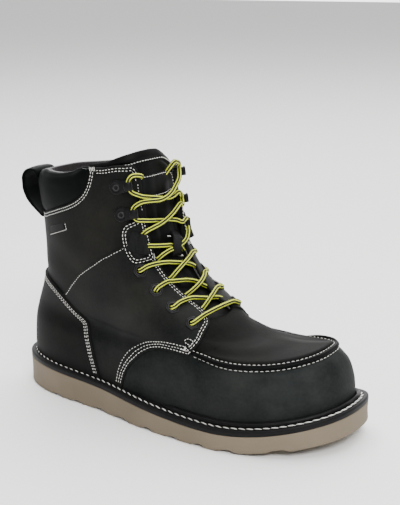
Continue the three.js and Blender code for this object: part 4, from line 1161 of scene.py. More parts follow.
def build_collar():
    ph = np.concatenate([-np.arange(COLLAR_END, 60, -0.8), np.linspace(-60, 60, 101), np.arange(60, COLLAR_END, 0.8) + 0.4])
    vs = np.array([0, .04, .08, .13, .2, .28, .37, .46, .55, .64, .73, .81, .88, .94, 1.0])
    bulge = pchip([[0, -1.6], [.04, -.9], [.1, .5], [.2, 1.3], [.4, 1.9], [.62, 1.8], [.8, 1.1], [.92, .1], [1, -1.3]])
    rows, hs = [], []
    lo = COLLAR_LINE(np.abs(ph)) + 0.0
    hi = top_line(ph) - 0.02
    tap = np.clip((COLLAR_END + 1 - np.abs(ph)) / 10, 0, 1) ** 0.6
    for v in vs:
        t = lo + (hi - lo) * v
        b = bulge(v)
        h = np.where(b > 0, b * tap, b * (0.35 + 0.65 * tap))
        h = h + crease_sum(t, np.abs(ph), [(9.1, 52, .25, 10, -.35), (8.6, 26, .22, 14, -.3), (9.5, 20, .2, 16, -.22)]) * tap
        rows.append(O(t, ph, h))
    th = collar_thick(ph)
    for a in (20, 42, 65, 90):
        r = math.radians(a)
        h = -1.3 - (th / 2 - 0.6) * (1 - math.cos(r)) - 0.2 * math.sin(r)
        rows.append(O(hi, ph, h) + np.stack([0 * ph, 0 * ph, 1.7 * np.sin(r) * (0.4 + 0.6 * tap)], -1))
    v = np.vstack(rows)
    o = mesh("collar_pad", v, [grid_quads(len(rows), len(ph))], M_COLLAR)
    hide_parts("collar")
    return rows[-1], ph


COLLAR_CREST, COLLAR_PHI = build_collar()


# ------------------------------------------------------------------ lining and insole
def build_lining():
    # lower part, all round
    ph = np.arange(0, 360, 3.0)
    ts = np.concatenate([[0.12], np.linspace(0.4, 6.05, 26)])
    T, F = np.meshgrid(ts, ph, indexing="ij")
    v = O(T, F, -WALL - 0.25 + 0 * T).reshape(-1, 3)
    q = grid_quads(len(ts), len(ph), wrap=True)[:, ::-1]
    mesh("lining_lower", v, [q], M_LINING)
    # upper part, from facing to facing, thicker behind the collar pad
    u = np.concatenate([np.linspace(-1, -0.45, 26), np.linspace(-0.45, 0.45, 61)[1:-1], np.linspace(0.45, 1, 26)])
    vs = np.concatenate([np.linspace(0, .8, 30), np.linspace(.8, 1, 14)[1:]])
    rows = []
    for w in vs:
        t = 6.0 + 0 * u
        for _ in range(3):
            phi = u * (facing_edge(np.clip(t, 6.0, 10.0)) - 0.6)
            t = 6.0 + (top_line(phi) - 0.03 - 6.0) * w
        f = np.abs(phi)
        inpad = np.clip((COLLAR_END - f) / 12, 0, 1)
        inpad = inpad * inpad * (3 - 2 * inpad)
        up = np.clip((t - (COLLAR_LINE(f) - 0.5)) / 0.9, 0, 1)
        up = up * up * (3 - 2 * up)
        d = 2.3 + inpad * up * (collar_thick(f) - 1.8)
        p = O(t, phi, -d)
        # close to the crest of the pad
        near = np.clip((w - 0.9) / 0.1, 0, 1) ** 2 * inpad
        p[:, 2] += 1.5 * near
        rows.append(p)
    # roll over to the top edge
    top = rows[-1].copy()
    phi = u * facing_edge(10.0)
    f = np.abs(u * (facing_edge(np.clip(t, 6, 10)) - 0.6))
    nn = frame_at(t, u * (facing_edge(np.clip(t, 6, 10)) - 0.6))[2]
    inpad = np.clip((COLLAR_END - f) / 12, 0, 1)
    for s, rise in ((0.5, 0.35), (1.2, 0.45), (2.2, 0.3)):
        rows.append(top + nn * (s * (1 + inpad * 0.6))[:, None] + np.stack([0 * u, 0 * u, rise * inpad - 0.25 * (1 - inpad)], -1))
    mesh("lining_shaft", np.vstack(rows), [grid_quads(len(rows), len(u))[:, ::-1]], M_LINING)


build_lining()


def build_insole():
    inner, nn, phs = ring_plan(0.25, -(WALL + 1.2), 3.0)
    rows = []
    cx = np.clip(inner[:, 0], -110, 100)
    cy = 0.5 * (np.interp(cx, *sorted_side(inner, -1)) + np.interp(cx, *sorted_side(inner, 1)))
    for u, z in ((0, 0.3), (0, 3.5), (0.02, 4.2), (0.06, 4.5), (0.3, 4.3), (0.65, 4.1), (1.0, 4.0)):
        q = inner * (1 - u) + np.column_stack([cx, cy]) * u
        rows.append(np.column_stack([q, sole_top(q[:, 0]) + WELT_GAP + z]))
    o = mesh("footbed", np.vstack(rows), [grid_quads(len(rows), len(inner), wrap=True)], M_LINING)
    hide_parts("insole")


build_insole()

# ------------------------------------------------------------------ tongue
tongue_half, tongue_depth, tongue_thick = (line(TONGUE[:, [0, k]]) for k in (1, 2, 3))


def tongue_base(t, phi):
    tt = tongue_top(np.mod(phi, 360))
    return np.where(t <= 8.7, t, 8.7 + (t - 8.7) * 1.7 / (tt - 8.7))


def tongue_folds(base, phi):
    """Soft upright folds of the gusset, a groove under the padded top edge."""
    a = np.mod(phi, 360)
    h = np.zeros(np.broadcast(base, a).shape)
    for pc, sp, tc, st, amp in [(158, 3.2, 8.8, 1.0, -.7), (166, 4.0, 8.6, 1.1, .55), (175, 3.2, 8.7, .9, -.6), (186, 4.5, 8.6, 1.0, .6), (196, 3.0, 8.8, .9, -.6),
                                (206, 3.5, 8.9, .8, .5), (152, 3.0, 9.0, .6, .4), (171, 3.5, 7.2, .7, .45), (182, 3.4, 7.0, .7, -.5), (190, 3.6, 7.3, .6, .4)]:
        h = h + amp * np.exp(-((a - pc) / sp) ** 2 - ((base - tc) / st) ** 2)
    h = h - 0.55 * np.exp(-((base - 10.08) / 0.045) ** 2) * (np.abs(a - 180) < 92)
    h = h + 0.5 * np.exp(-((base - 10.22) / 0.09) ** 2)
    return h


def tongue_height(t, phi):
    b = tongue_base(t, phi)
    return -tongue_depth(b) + tongue_folds(b, phi)


def build_tongue():
    base = np.concatenate([np.linspace(5.15, 8.7, 40), np.linspace(8.7, 9.95, 22)[1:], np.linspace(9.95, 10.4, 22)[1:]])
    u = np.concatenate([[-1, -.993, -.98, -.96, -.93], np.linspace(-.9, .9, 91), [.93, .96, .98, .993, 1]])
    ur = np.concatenate([u, u[::-1][1:-1]])
    face = np.concatenate([np.ones(len(u)), np.zeros(len(u) - 2)])
    rows = []
    for b in base:
        half = tongue_half(b)
        phi = 180 + ur * half
        tt = tongue_top(phi)
        t = b if b <= 8.7 else 8.7 + (b - 8.7) * (tt - 8.7) / 1.7
        t = t + 0 * phi
        thick = tongue_thick(b)
        cap = np.sqrt(max(0.0, 1 - max(0.0, (b - 10.16) / 0.24) ** 2))
        edge = np.sqrt(np.clip(1 - np.clip((np.abs(ur) - 0.93) / 0.07, 0, 1) ** 2, 0, 1))
        mid = -tongue_depth(b) - thick / 2
        k = cap * edge
        h = mid + np.where(face > 0, 1, -1) * thick / 2 * k + tongue_folds(b, phi) * k * np.where(face > 0, 1, 0.3)
        rows.append(O(t, phi, h))
    v = np.vstack(rows)
    nj = len(ur)
    f = grid_quads(len(base), nj, wrap=True)
    # faces that would close the top edge; they are not added to the mesh
    n0 = (len(base) - 1) * nj
    k = np.arange(1, len(u) - 2)
    cap = np.stack([n0 + k, n0 + k + 1, n0 + nj - k - 1, n0 + (nj - k) % nj], -1)
    o = mesh("tongue_pad", v, [f], M_TONGUE)
    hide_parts("tongue")
    # stitched line under the padded top
    tp = smooth_curve([(10.03, 100), (10.04, 118), (10.04, 136.1), (10.08, 150.9), (10.09, 169.3), (10.06, 187.2), (9.93, 200), (9.78, 215), (9.68, 232), (9.62, 255)])
    stitch_row(tp, lambda t, p: tongue_height(t, p) + 0.15, pitch=3.0, r=0.32)


build_tongue()

# Bare label patch with a stitched border.
label = smooth_curve([(9.68, 146), (9.70, 153), (9.71, 170), (9.70, 190), (9.63, 204), (9.56, 207), (9.44, 208), (9.375, 206), (9.355, 195), (9.35, 181), (9.37, 156), (9.40, 145), (9.43, 142.4), (9.55, 141.8), (9.64, 143)], 1.0, closed=True)
lab_out = even(label, 1.0)


def closed_side(loop, d):
    x = P(loop[:, 0], loop[:, 1])
    tan = unit(np.roll(x, -2, axis=0) - np.roll(x, 2, axis=0))
    n = frame_at(loop[:, 0], loop[:, 1])[2]
    return move(loop, np.cross(n, tan) * d)


def outward(loop, d):
    """Moves a closed outline outwards by d mm."""
    s = 1 if inside(flat_round(loop), flat_round(closed_side(loop, 0.5))).mean() < 0.5 else -1
    k = max(1, int(math.ceil(abs(d) / 0.7)))
    for _ in range(k):
        loop = closed_side(loop, s * d / k)
    return loop


panel("tongue_label", even(outward(lab_out, 1.3), 1.0), lambda t, p: tongue_height(t, p) + 0.85, M_PATCH, grid=2.6, under=1.2, edge=0.4, rings=[.1, .28, .55, .9, 1.3, 1.8, 2.6, 3.6])
stitch_row(np.vstack([lab_out, lab_out[:1]]), lambda t, p: tongue_height(t, p) + 0.85, pitch=2.6, r=0.28)

# ------------------------------------------------------------------ pull loop
def build_pull():
    line_xz = np.array([[-134.6, 181.0], [-136.2, 185.2], [-140.2, 187.2], [-146.0, 187.0], [-151.2, 184.2], [-154.0, 178.2], [-153.9, 171.0], [-151.4, 163.6], [-147.2, 157.0], [-142.4, 151.2], [-137.6, 145.4]])
    s = np.concatenate([[0], np.cumsum(np.linalg.norm(np.diff(line_xz, axis=0), axis=1))])
    fx, fz = pchip(np.column_stack([s, line_xz[:, 0]])), pchip(np.column_stack([s, line_xz[:, 1]]))
    q = np.linspace(0, s[-1], 70)
    c = np.column_stack([fx(q), 0 * q, fz(q)])
    tan = unit(np.gradient(c, axis=0))
    nn = np.column_stack([-tan[:, 2], 0 * q, tan[:, 0]])
    nn = nn * np.sign((nn * (c - np.array([-140, 0, 172]))).sum(1))[:, None]
    W, H = 12.3, 1.1
    prof = []
    for y in np.linspace(-1, 1, 15):
        prof.append((y * (W - .7), H - 0.25 * math.exp(-((abs(y) * W - 9.9) / .6) ** 2)))
    prof = [(-W, 0), (-W + .12, .6)] + prof + [(W - .12, .6), (W, 0), (W - .12, -.6)] + [(y * (W - .7), -H) for y in np.linspace(1, -1, 9)] + [(-W + .12, -.6)]
    wy = np.array([p[0] for p in prof])
    wh = np.array([p[1] for p in prof])
    ends = np.clip(1 - q / 12, 0, 1) ** 1.5 * 2.5 + np.clip(1 - (s[-1] - q) / 22, 0, 1) ** 1.5 * 4.2
    curl = (0.7 + ends)[:, None] * (wy[None] / W) ** 2
    pinch = 1 - 0.04 * np.exp(-((q - s[-1]) / 12) ** 2)
    v = c[:, None] + np.array([0, 1.0, 0]) * (wy[None, :, None] * pinch[:, None, None]) + nn[:, None] * (wh[None] - curl)[..., None]
    o = mesh("pull_loop_leather", v.reshape(-1, 3), [grid_quads(len(q), len(prof), wrap=True)], M_COLLAR)
    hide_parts("pull_loop")


build_pull()

# ------------------------------------------------------------------ eyelets and hooks
def seat(t, phi, lift, toward=None):
    """Local axes on the boot's face: x to the facing edge (or to a given point), z outwards."""
    n = frame_at(t, phi)[2]
    o = P(t, phi) + n * lift
    tgt = P(t, phi + (0.5 if np.mod(phi, 360) < 180 else -0.5)) if toward is None else P(*toward)
    x = tgt - P(t, phi)
    x = unit(x - n * (x @ n))
    y = np.cross(n, x)
    return o, x, y, n


def place(local, s):
    o, x, y, z = s
    return o + local[..., :1] * x + local[..., 1:2] * y + local[..., 2:] * z


M_HOLE = make_plain("hole_shadow", (0.002, 0.002, 0.002), 1.0, 0.0)


def build_eyelet(name, t, phi, node):
    s = seat(t, phi, QUARTER_H - 0.05)
    n = 48
    a = np.arange(n) * 2 * math.pi / n
    hexr = 1 / np.maximum(np.cos((np.mod(a + math.pi / 6, math.pi / 3)) - math.pi / 6), 0.5) * math.cos(math.pi / 6)
    hexr = hexr ** 0.92
    prof = [(5.75, 1, -0.5), (5.75, 1, 0.45), (5.6, 1, 0.8), (5.3, .97, 0.95), (4.9, .9, 0.98), (4.6, .75, 0.85), (4.2, .4, 0.86), (3.7, 0, 1.15), (3.3, 0, 1.22), (2.95, 0, 1.05), (2.7, 0, 0.6), (2.62, 0, 0.1)]
    rows = []
    for r, k, h in prof:
        rr = r * (hexr * k + (1 - k))
        rows.append(np.column_stack([rr * np.cos(a), rr * np.sin(a), np.full(n, h)]))
    v = place(np.vstack(rows), s)
    f = grid_quads(len(prof), n, wrap=True)
    o = mesh(name, v, [f], M_METAL)
    o.data.materials.append(M_RIM)
    # The outer bevel and the inner lip take the lighter rim metal: wear and a painted highlight.
    mi = np.zeros(len(f), int)
    mi[2 * n:3 * n] = 1
    mi[7 * n:8 * n] = 1
    o.data.polygons.foreach_set("material_index", mi)
    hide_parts(node)
    r = np.array([2.72, 1.6, 0.01])
    disc = np.stack([np.column_stack([q * np.cos(a), q * np.sin(a), np.full(n, 0.12)]) for q in r]).reshape(-1, 3)
    mesh(name + "_hole", place(disc, s), [grid_quads(3, n, wrap=True)], M_HOLE)


def lathe(prof, n=36):
    a = np.arange(n) * 2 * math.pi / n
    return np.vstack([np.column_stack([r * np.cos(a), r * np.sin(a), np.full(n, h)]) for r, h in prof]), grid_quads(len(prof), n, wrap=True)


def build_hook(name, t, phi, tip, node, squash=1.0):
    s = seat(t, phi, 0.0, toward=tip)
    V, F, n0 = [], [], 0
    v, f = lathe([(5.75, -0.3), (5.75, 0.7), (5.6, 1.0), (5.2, 1.15), (3.6, 1.15), (3.45, 1.0), (3.3, 1.15), (3.1, 1.6), (2.5, 1.95), (1.75, 2.05), (1.45, 1.8), (1.0, 1.62), (0.01, 1.6)])
    V.append(v); F.append(f); n0 += len(v)
    # neck and curled tab
    path = np.array([[2.6, 0.75], [5.6, 0.75], [8.4, 0.8], [10.4, 0.95], [12.0, 1.5], [13.1, 2.6], [13.3, 4.0], [12.6, 5.2], [11.2, 5.8], [9.4, 5.95], [7.8, 5.8]])
    path[:, 1] = 0.75 + (path[:, 1] - 0.75) * squash
    sl = np.concatenate([[0], np.cumsum(np.linalg.norm(np.diff(path, axis=0), axis=1))])
    fx, fz = pchip(np.column_stack([sl, path[:, 0]])), pchip(np.column_stack([sl, path[:, 1]]))
    q = np.linspace(0, sl[-1], 44)
    c = np.column_stack([fx(q), 0 * q, fz(q)])
    tan = unit(np.gradient(c, axis=0))
    nn = np.column_stack([-tan[:, 2], 0 * q, tan[:, 0]])
    w = pchip([[0, 4.9], [5, 4.4], [8, 3.5], [14, 3.5], [17, 3.8], [sl[-1] - 2.6, 3.8], [sl[-1] - .9, 3.0], [sl[-1], 1.6]])(q)
    th = 0.6 * np.sqrt(np.clip(1 - ((q - sl[-1] + 0.6) / 0.62).clip(0, 1) ** 2, 0.02, 1))
    prof = [(-1, 0), (-.97, .7), (-.88, 1), (-.4, 1), (0, 1), (.4, 1), (.88, 1), (.97, .7), (1, 0), (.97, -.7), (.88, -1), (0, -1), (-.88, -1), (-.97, -.7)]
    pw, phh = np.array([p[0] for p in prof]), np.array([p[1] for p in prof])
    v = c[:, None] + np.array([0, 1.0, 0]) * (pw[None, :, None] * w[:, None, None]) + nn[:, None] * (phh[None, :, None] * th[:, None, None])
    V.append(v.reshape(-1, 3)); F.append(grid_quads(len(q), len(prof), wrap=True, start=n0))
    o = mesh(name, place(np.vstack(V), s), [np.vstack(F)], M_METAL)
    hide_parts(node)
    # lighter ring on the rivet head: a painted highlight on its dome
    v, f = lathe([(2.52, 1.93), (2.2, 2.08), (1.85, 2.10), (1.7, 2.04)])
    mesh(name + "_rivet_ring", place(v, s), [f], M_RIM)


for sgn, sname in ((1, "lateral"), (-1, "medial")):
    for k, (t, p) in enumerate(EYELETS):
        build_eyelet(f"eyelet_{sname}_{k + 1}_hex", t, sgn * p, f"eyelet_{sname}_{k + 1}")
    for lev, (t, p, tt, tp_) in HOOKS.items():
        near = 0 if sgn > 0 else 4.0
        build_hook(f"hook_{sname}_{lev}_curl", t, sgn * (p + near), (tt, sgn * (tp_ + near)), f"hook_{sname}_{lev}", 1.0 if sgn > 0 else 0.72)

# ------------------------------------------------------------------ webbing patch, loops and keeper
patch_row = smooth_curve(PATCH_ROW)
edge_t = np.linspace(8.90, 7.92, 24)
patch_right = np.stack([edge_t, np.interp(edge_t, [7.92, 8.3, 8.9], [146.0, 146.4, 144.8])], -1)
patch_loop = even(np.vstack([patch_row, patch_right]), 1.0)


def ribbon(name, path, width_dir, w, th, mat, nw=7):
    """Flat band along a 3-D path; width_dir: unit vectors across it."""
    tan = unit(np.gradient(path, axis=0))
    wd = unit(width_dir - tan * (width_dir * tan).sum(1)[:, None])
    nn = np.cross(tan, wd)
    y = np.linspace(-1, 1, nw)
    prof = [(-1, -.5), (-1, .5)] + [(a, 1) for a in y * 0.96] + [(1, .5), (1, -.5)] + [(a, -1) for a in y[::-1] * 0.96]
    a, b = np.array([p[0] for p in prof]), np.array([p[1] for p in prof])
    v = path[:, None] + wd[:, None] * (a[None, :, None] * w / 2) + nn[:, None] * (b[None, :, None] * th / 2)
    n = len(prof)
    caps = [np.array([[k, k + 1, n - 2 - k, n - 1 - k] for k in range(n // 2 - 1)]) + r * n for r in (0, len(path) - 1)]
    return mesh(name, v.reshape(-1, 3), [grid_quads(len(path), n, wrap=True), caps[0][:, ::-1], caps[1]], mat)


for sgn, sname in ((1, "lateral"), (-1, "medial")):
    m = (lambda c: c) if sgn > 0 else mirror
    # frame of leather, its window filled by black webbing
    ph_h = lambda t, p: np.where(np.abs(p) > 0, QUARTER_H + 0.75, 0)
    panel(f"webbing_patch_{sname}", even(outward(m(patch_loop), 1.5), 1.0), ph_h, M_LEATHER, grid=2.4, under=1.9, edge=0.45,
          rows=np.tile([1.5, 3.5, np.nan], (2000, 1))[: len(even(outward(m(patch_loop), 1.5), 1.0))])
    win = even(outward(m(patch_loop), -4.4), 1.0)
    panel(f"webbing_window_{sname}", win, lambda t, p: QUARTER_H + 0.86 + 0 * t, M_WEB, grid=2.2, under=0.5, edge=0.15, rings=[.1, .3, .6, 1.2, 2.0])
    stitch_row(np.vstack([m(patch_loop), m(patch_loop)[:1]]), QUARTER_H + 0.62, pitch=2.8, r=0.29)
    inn = even(outward(m(patch_loop), -2.1), 1.0)
    stitch_row(np.vstack([inn, inn[:1]]), QUARTER_H + 0.62, pitch=2.8, r=0.29)
    # loop band that holds the lace
    u = np.linspace(0, 1, 34)
    phi = sgn * (119.5 + u * 22.5)
    rise = 1.5 + 2.6 * np.clip((u - 0.45) / 0.35, 0, 1) ** 1.3
    rise = np.where(u > 0.84, 3.6 * np.sqrt(np.clip(1 - ((u - 0.84) / 0.16) ** 2, 0, 1)) + 0.5, rise)
    t = 8.25 + 0 * u
    path = O(t, phi, rise + QUARTER_H - 0.2)
    wd = unit(frame_at(t, phi)[0])
    o = ribbon(f"webbing_loop_{sname}_band", path, wd, 15.5, 1.4, M_WEB)
    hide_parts(f"webbing_loop_{sname}")

# keeper strap on the tongue, its two bartacks
kp = smooth_curve([(8.47, 193.5), (8.392, 191.2), (8.318, 185.8), (8.206, 183.0), (8.088, 181.7), (7.99, 182.2), (7.90, 184.6)], 1.0)
kx = np.linspace(0, 1, len(kp))
lift = np.interp(kx, [0, .14, .3, .5, .7, .87, 1], [-3.6, -1.2, 2.4, 3.5, 3.1, 0.6, -3.4])
for _ in range(6):
    lift[1:-1] = (lift[:-2] + 2 * lift[1:-1] + lift[2:]) / 4
o = ribbon("lace_keeper_strap", O(kp[:, 0], kp[:, 1], lift), unit(frame_at(kp[:, 0], kp[:, 1])[1] - 0.35 * 0.7 * frame_at(kp[:, 0], kp[:, 1])[0] / 30), 10.2, 1.2, M_WEB)
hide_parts("lace_keeper")

# side tag, bare, with a thin stitched line on two sides
tag_q = np.array([(7.453, 40.6), (7.894, 58.6), (7.70, 58.6), (7.236, 41.0)])
tl = even(resample(np.vstack([tag_q, tag_q[:1]]), 1.0)[:-1], 0.8)
panel("side_tag", tl, lambda t, p: shaft_height(t, p) + 0.55, M_PATCH, grid=2.0, under=0.9, edge=0.3, rings=[.1, .3, .6, 1.1, 1.7])
for a, b in (((7.91, 59.4), (7.71, 60.2)), ((7.71, 60.0), (7.083, 38.0))):
    stitch_row(resample(np.array([a, b]), 0.8), lambda t, p: shaft_height(t, p) + 0.1, pitch=2.0, r=0.2, fill=1.0)

# ------------------------------------------------------------------ bartacks
for m in ((lambda c: c), mirror):
    g = lambda *q: [tuple(m(np.array([x]))[0]) for x in q]
    bartack(*g((10.045, 82.4), (10.06, 86.4)), 0.1, w=3.4, n=4)
    wr = [c[-1] for c in wing_rows]
    for q0, q1 in ((wr[0], wr[1]), (wr[1], wr[2])):
        bartack(*g(tuple(q0), tuple(q1)), QUARTER_H, w=1.3, n=4)
    bartack(*g((7.90, 146.5), (8.02, 146.6)), QUARTER_H + 0.3, w=4.0, n=4)
    lp = smooth_curve([tuple(m(np.array([x]))[0]) for x in [(4.30, 106.5), (4.398, 106.0), (4.50, 106.6), (4.649, 109.6), (4.759, 112.7), (4.77, 114.6), (4.69, 114.8), (4.584, 113.0)]])
    stitch_row(lp, QUARTER_H, pitch=2.2, r=0.24, fill=0.8)
bartack((7.947, 180.6), (7.838, 195.4), -2.3, w=1.5, n=11)
bartack((8.431, 180.8), (8.395, 185.4), -2.9, w=1.3, n=5)

# ------------------------------------------------------------------ lace
LACE_R = 1.95
CAM_SIDE = unit(np.array([0.54, -0.80, 0.27]))


def cr_path(ctrl, step=0.6):
    """Centripetal curve through 3-D points at an even step."""
    p = np.asarray(ctrl, float)
    q = np.vstack([2 * p[0] - p[1], p, 2 * p[-1] - p[-2]])
    out = []
    for i in range(1, len(q) - 2):
        p0, p1, p2, p3 = q[i - 1], q[i], q[i + 1], q[i + 2]
        d1, d0, d2 = (max(np.linalg.norm(b - a), 1e-6) ** 0.5 for a, b in ((p1, p2), (p0, p1), (p2, p3)))
        m1 = ((p1 - p0) / d0 - (p2 - p0) / (d0 + d1) + (p2 - p1) / d1) * d1
        m2 = ((p2 - p1) / d1 - (p3 - p1) / (d1 + d2) + (p3 - p2) / d2) * d1
        u = np.linspace(0, 1, 24, endpoint=False)[:, None]
        out.append((2 * u ** 3 - 3 * u ** 2 + 1) * p1 + (u ** 3 - 2 * u ** 2 + u) * m1 + (-2 * u ** 3 + 3 * u ** 2) * p2 + (u ** 3 - u ** 2) * m2)
    out = np.vstack(out + [p[-1:]])
    for _ in range(3):
        out[1:-1] = (out[:-2] + 2 * out[1:-1] + out[2:]) / 4
    s = np.concatenate([[0], np.cumsum(np.linalg.norm(np.diff(out, axis=0), axis=1))])
    n = int(s[-1] / step)
    g = np.linspace(0, s[-1], n + 1)
    return np.stack([np.interp(g, s, out[:, k]) for k in range(3)], -1), g


def lace(name, ctrl, node=None):
    pts = np.array([O(t, p, h) for t, p, h in ctrl])
    c, g = cr_path(pts)
    tan = unit(np.gradient(c, axis=0))
    ref = CAM_SIDE - tan * (tan @ CAM_SIDE)[:, None]
    side_v = unit(ref)
    for _ in range(8):
        side_v[1:-1] = unit(side_v[:-2] + 2 * side_v[1:-1] + side_v[2:])
    side_v = unit(side_v - tan * (side_v * tan).sum(1)[:, None])
    oth = np.cross(tan, side_v)
    n = 30
    a = np.arange(n + 1) * 2 * math.pi / n
    pick = 1 - 0.05 * np.cos(5 * a[None, :]) * np.cos(g[:, None] * 2 * math.pi / 1.15) + 0.02 * np.cos(10 * a[None, :] + g[:, None] * 2 * math.pi / 1.15)
    v = c[:, None] + side_v[:, None] * (np.cos(a)[None, :, None] * LACE_R * pick[..., None]) + oth[:, None] * (np.sin(a)[None, :, None] * LACE_R * pick[..., None])
    uv = np.stack([np.broadcast_to(a / (2 * math.pi), pick.shape), np.broadcast_to(g[:, None], pick.shape)], -1).reshape(-1, 2)
    o = mesh(name, v.reshape(-1, 3), [grid_quads(len(c), n + 1)[:, ::-1]], M_LACE, uv=uv)
    for nd in (node or []):
        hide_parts(nd)
    return o


def mir(ctrl):
    return [(t, -p, h) for t, p, h in ctrl]


E = EYELETS
QH = QUARTER_H + LACE_R + 0.05


# visible runs as they lie in the photo: row, angle, height over the face
BAR = [(5.764, 133.5, 2.4), (5.90, 139.2, 3.1), (6.167, 153.4, 3.3), (6.296, 167.1, 3.6), (6.327, 179.4, 3.8), (6.288, 190.6, 3.8), (6.161, 203.8, 3.3), (6.0, 212.0, 2.4)]
OVER = [[(6.566, 169.2, -1.5), (6.63, 176.6, 1.8), (6.715, 185.4, 3.6), (6.738, 202.3, 3.2), (6.633, 213.6, 2.3)],
        [(7.048, 167.1, -1.5), (7.089, 175.0, 1.8), (7.147, 183.7, 3.8), (7.202, 198.5, 3.2), (7.2, 210.0, 2.3)],
        [(7.489, 161.1, -1.5), (7.589, 170.1, 1.8), (7.68, 179.9, 3.8), (7.749, 192.8, 3.3), (7.743, 207.6, 2.3)]]
UNDER = [[(6.318, 128.5, 2.4), (6.615, 141.1, 3.1), (6.778, 152.5, 3.0), (6.857, 164.5, 2.2), (6.823, 175.2, 1.2), (6.738, 183.0, 0.4), (6.578, 198.1, -0.4), (6.425, 205.9, -1.5)],
         [(7.006, 128.1, 2.4), (7.152, 134.7, 3.1), (7.336, 148.9, 3.1), (7.359, 155.7, 2.6), (7.374, 167.9, 1.6), (7.337, 179.3, 0.6), (7.235, 187.6, -0.2), (7.086, 194.8, -1), (6.915, 203.2, -2)],
         [(7.505, 123.2, 2.4), (7.652, 132.3, 3.1), (7.766, 144.8, 3.1), (7.825, 161.3, 2.0), (7.793, 174.7, 1.0), (7.686, 188.2, 0), (7.562, 200.3, -1), (7.404, 210.8, -2)]]


def out_of(e):
    """Up through a lateral eyelet from under the facing."""
    t, p = e
    return [(t + 0.06, p + 3.5, -4.5), (t + 0.02, p + 0.8, -2.2), (t, p - 0.2, 0.4)]


def into_far(e):
    """Down through a medial eyelet and in under the facing."""
    t, p = e
    p = 360 - p
    return [(t, p - 4.6, QH - 0.9), (t, p - 0.6, QH - 1.9), (t + 0.01, p + 0.2, -1.2), (t + 0.05, p - 1.8, -4.5)]


lace("lace_bar_cord", out_of(E[0]) + BAR + into_far(E[0]), ["lace_bar"])
for k in range(3):
    t, p, h = OVER[k][0]
    lace(f"lace_run_{k + 1}_over", [(t - 0.05, p - 12, -4.8), (t - 0.03, p - 5.5, -3.9)] + OVER[k] + into_far(E[k + 1]), [f"lace_cross_{k + 1}"])
    t, p, h = UNDER[k][-1]
    lace(f"lace_run_{k + 1}_under", out_of(E[k + 1]) + UNDER[k] + [(t - 0.04, p + 5, -3.9), (t - 0.05, p + 12, -4.8)])

# out of the medial facing, through the keeper, the lateral loop, the medial lower hook and the lateral upper hook
lace("lace_end_a", [
    (7.84, 214, -4.8), (7.88, 207.5, -4.2), (7.95, 201, -2.8), (8.05, 194.5, -1.4), (8.12, 188.5, -0.7), (8.164, 183.3, -0.4), (8.213, 179.0, -0.3), (8.251, 168.4, 0.0), (8.256, 157.0, 0.6), (8.239, 145.6, 2.0), (8.221, 140.3, 1.9),
    (8.27, 136.8, 1.4), (8.36, 135.8, 1.3), (8.44, 136.8, 1.6), (8.51, 139.8, 2.4), (8.607, 145.3, 3.0), (8.712, 156.7, 2.6), (8.789, 168.3, 2.6), (8.868, 178.7, 3.0), (8.946, 185.4, 3.2), (9.021, 193.0, 3.6), (9.058, 199.1, 3.8),
    (8.99, 207, 3.0), (8.95, 212.5, 2.5), (8.96, 216.6, 2.2), (9.04, 218.0, 2.1), (9.12, 216.4, 2.2), (9.19, 211, 2.5), (9.26, 204, 3.0), (9.296, 198.3, 3.2),
    (9.258, 193.3, 1.6), (9.25, 186.8, 0), (9.284, 179.4, -0.8), (9.316, 171.6, -0.8), (9.345, 158.7, 0.4), (9.365, 146.2, 2.2), (9.395, 137.9, 3.2), (9.432, 131.4, 3.5), (9.48, 128.4, 3.3), (9.56, 126.6, 3.2), (9.65, 127.0, 3.4),
    (9.71, 128.6, 3.8), (9.766, 132.1, 3.8), (9.782, 137.9, 3.2), (9.761, 144.9, 1.4), (9.74, 149.0, -1.2), (9.70, 152.0, -4.4)], ["lace_cross_4", "lace_cross_5"])
# out of the lateral facing, through the keeper, the medial loop, the lateral lower hook and the medial upper hook
lace("lace_end_b", [
    (7.80, 145.5, -4.8), (7.86, 150.5, -3.8), (7.939, 156.8, -1.9), (8.031, 164.3, -0.2), (8.096, 173.2, 0.8), (8.11, 181.0, 0.9), (8.12, 188, 1.2), (8.13, 194, 2.0), (8.156, 200.5, 3.0),
    (8.19, 208, 3.1), (8.24, 216, 3.0), (8.33, 221.5, 3.0), (8.44, 222.5, 3.0), (8.53, 218, 3.1), (8.59, 209, 3.2), (8.627, 199.5, 3.0),
    (8.707, 195.1, 1.2), (8.793, 185.8, -0.4), (8.837, 177.6, -0.5), (8.868, 166.5, -0.2), (8.871, 153.8, 1.2), (8.86, 142.0, 3.0), (8.845, 135.6, 3.4), (8.87, 132.2, 3.3), (8.95, 130.6, 3.2), (9.05, 130.0, 3.4),
    (9.121, 131.3, 3.8), (9.189, 135.5, 3.7), (9.245, 141.8, 3.2), (9.276, 151.6, 2.4), (9.282, 162.4, 2.2), (9.278, 173.0, 2.4), (9.305, 181.2, 2.8), (9.361, 187.8, 3.2), (9.431, 194.2, 3.4), (9.50, 202.0, 3.6),
    (9.53, 208.5, 2.9), (9.56, 213.5, 2.5), (9.61, 217.6, 2.2), (9.68, 219.2, 2.1), (9.76, 217.2, 2.2), (9.82, 210.5, 2.6), (9.865, 202.5, 3.0), (9.893, 196.5, 3.0), (9.796, 194.2, 0.3), (9.702, 192.9, -2.8), (9.64, 192, -4.8)], ["lace_cross_6"])


# ------------------------------------------------------------------ thread, floor, light, camera
flush(STITCH, "stitching", M_THREAD)


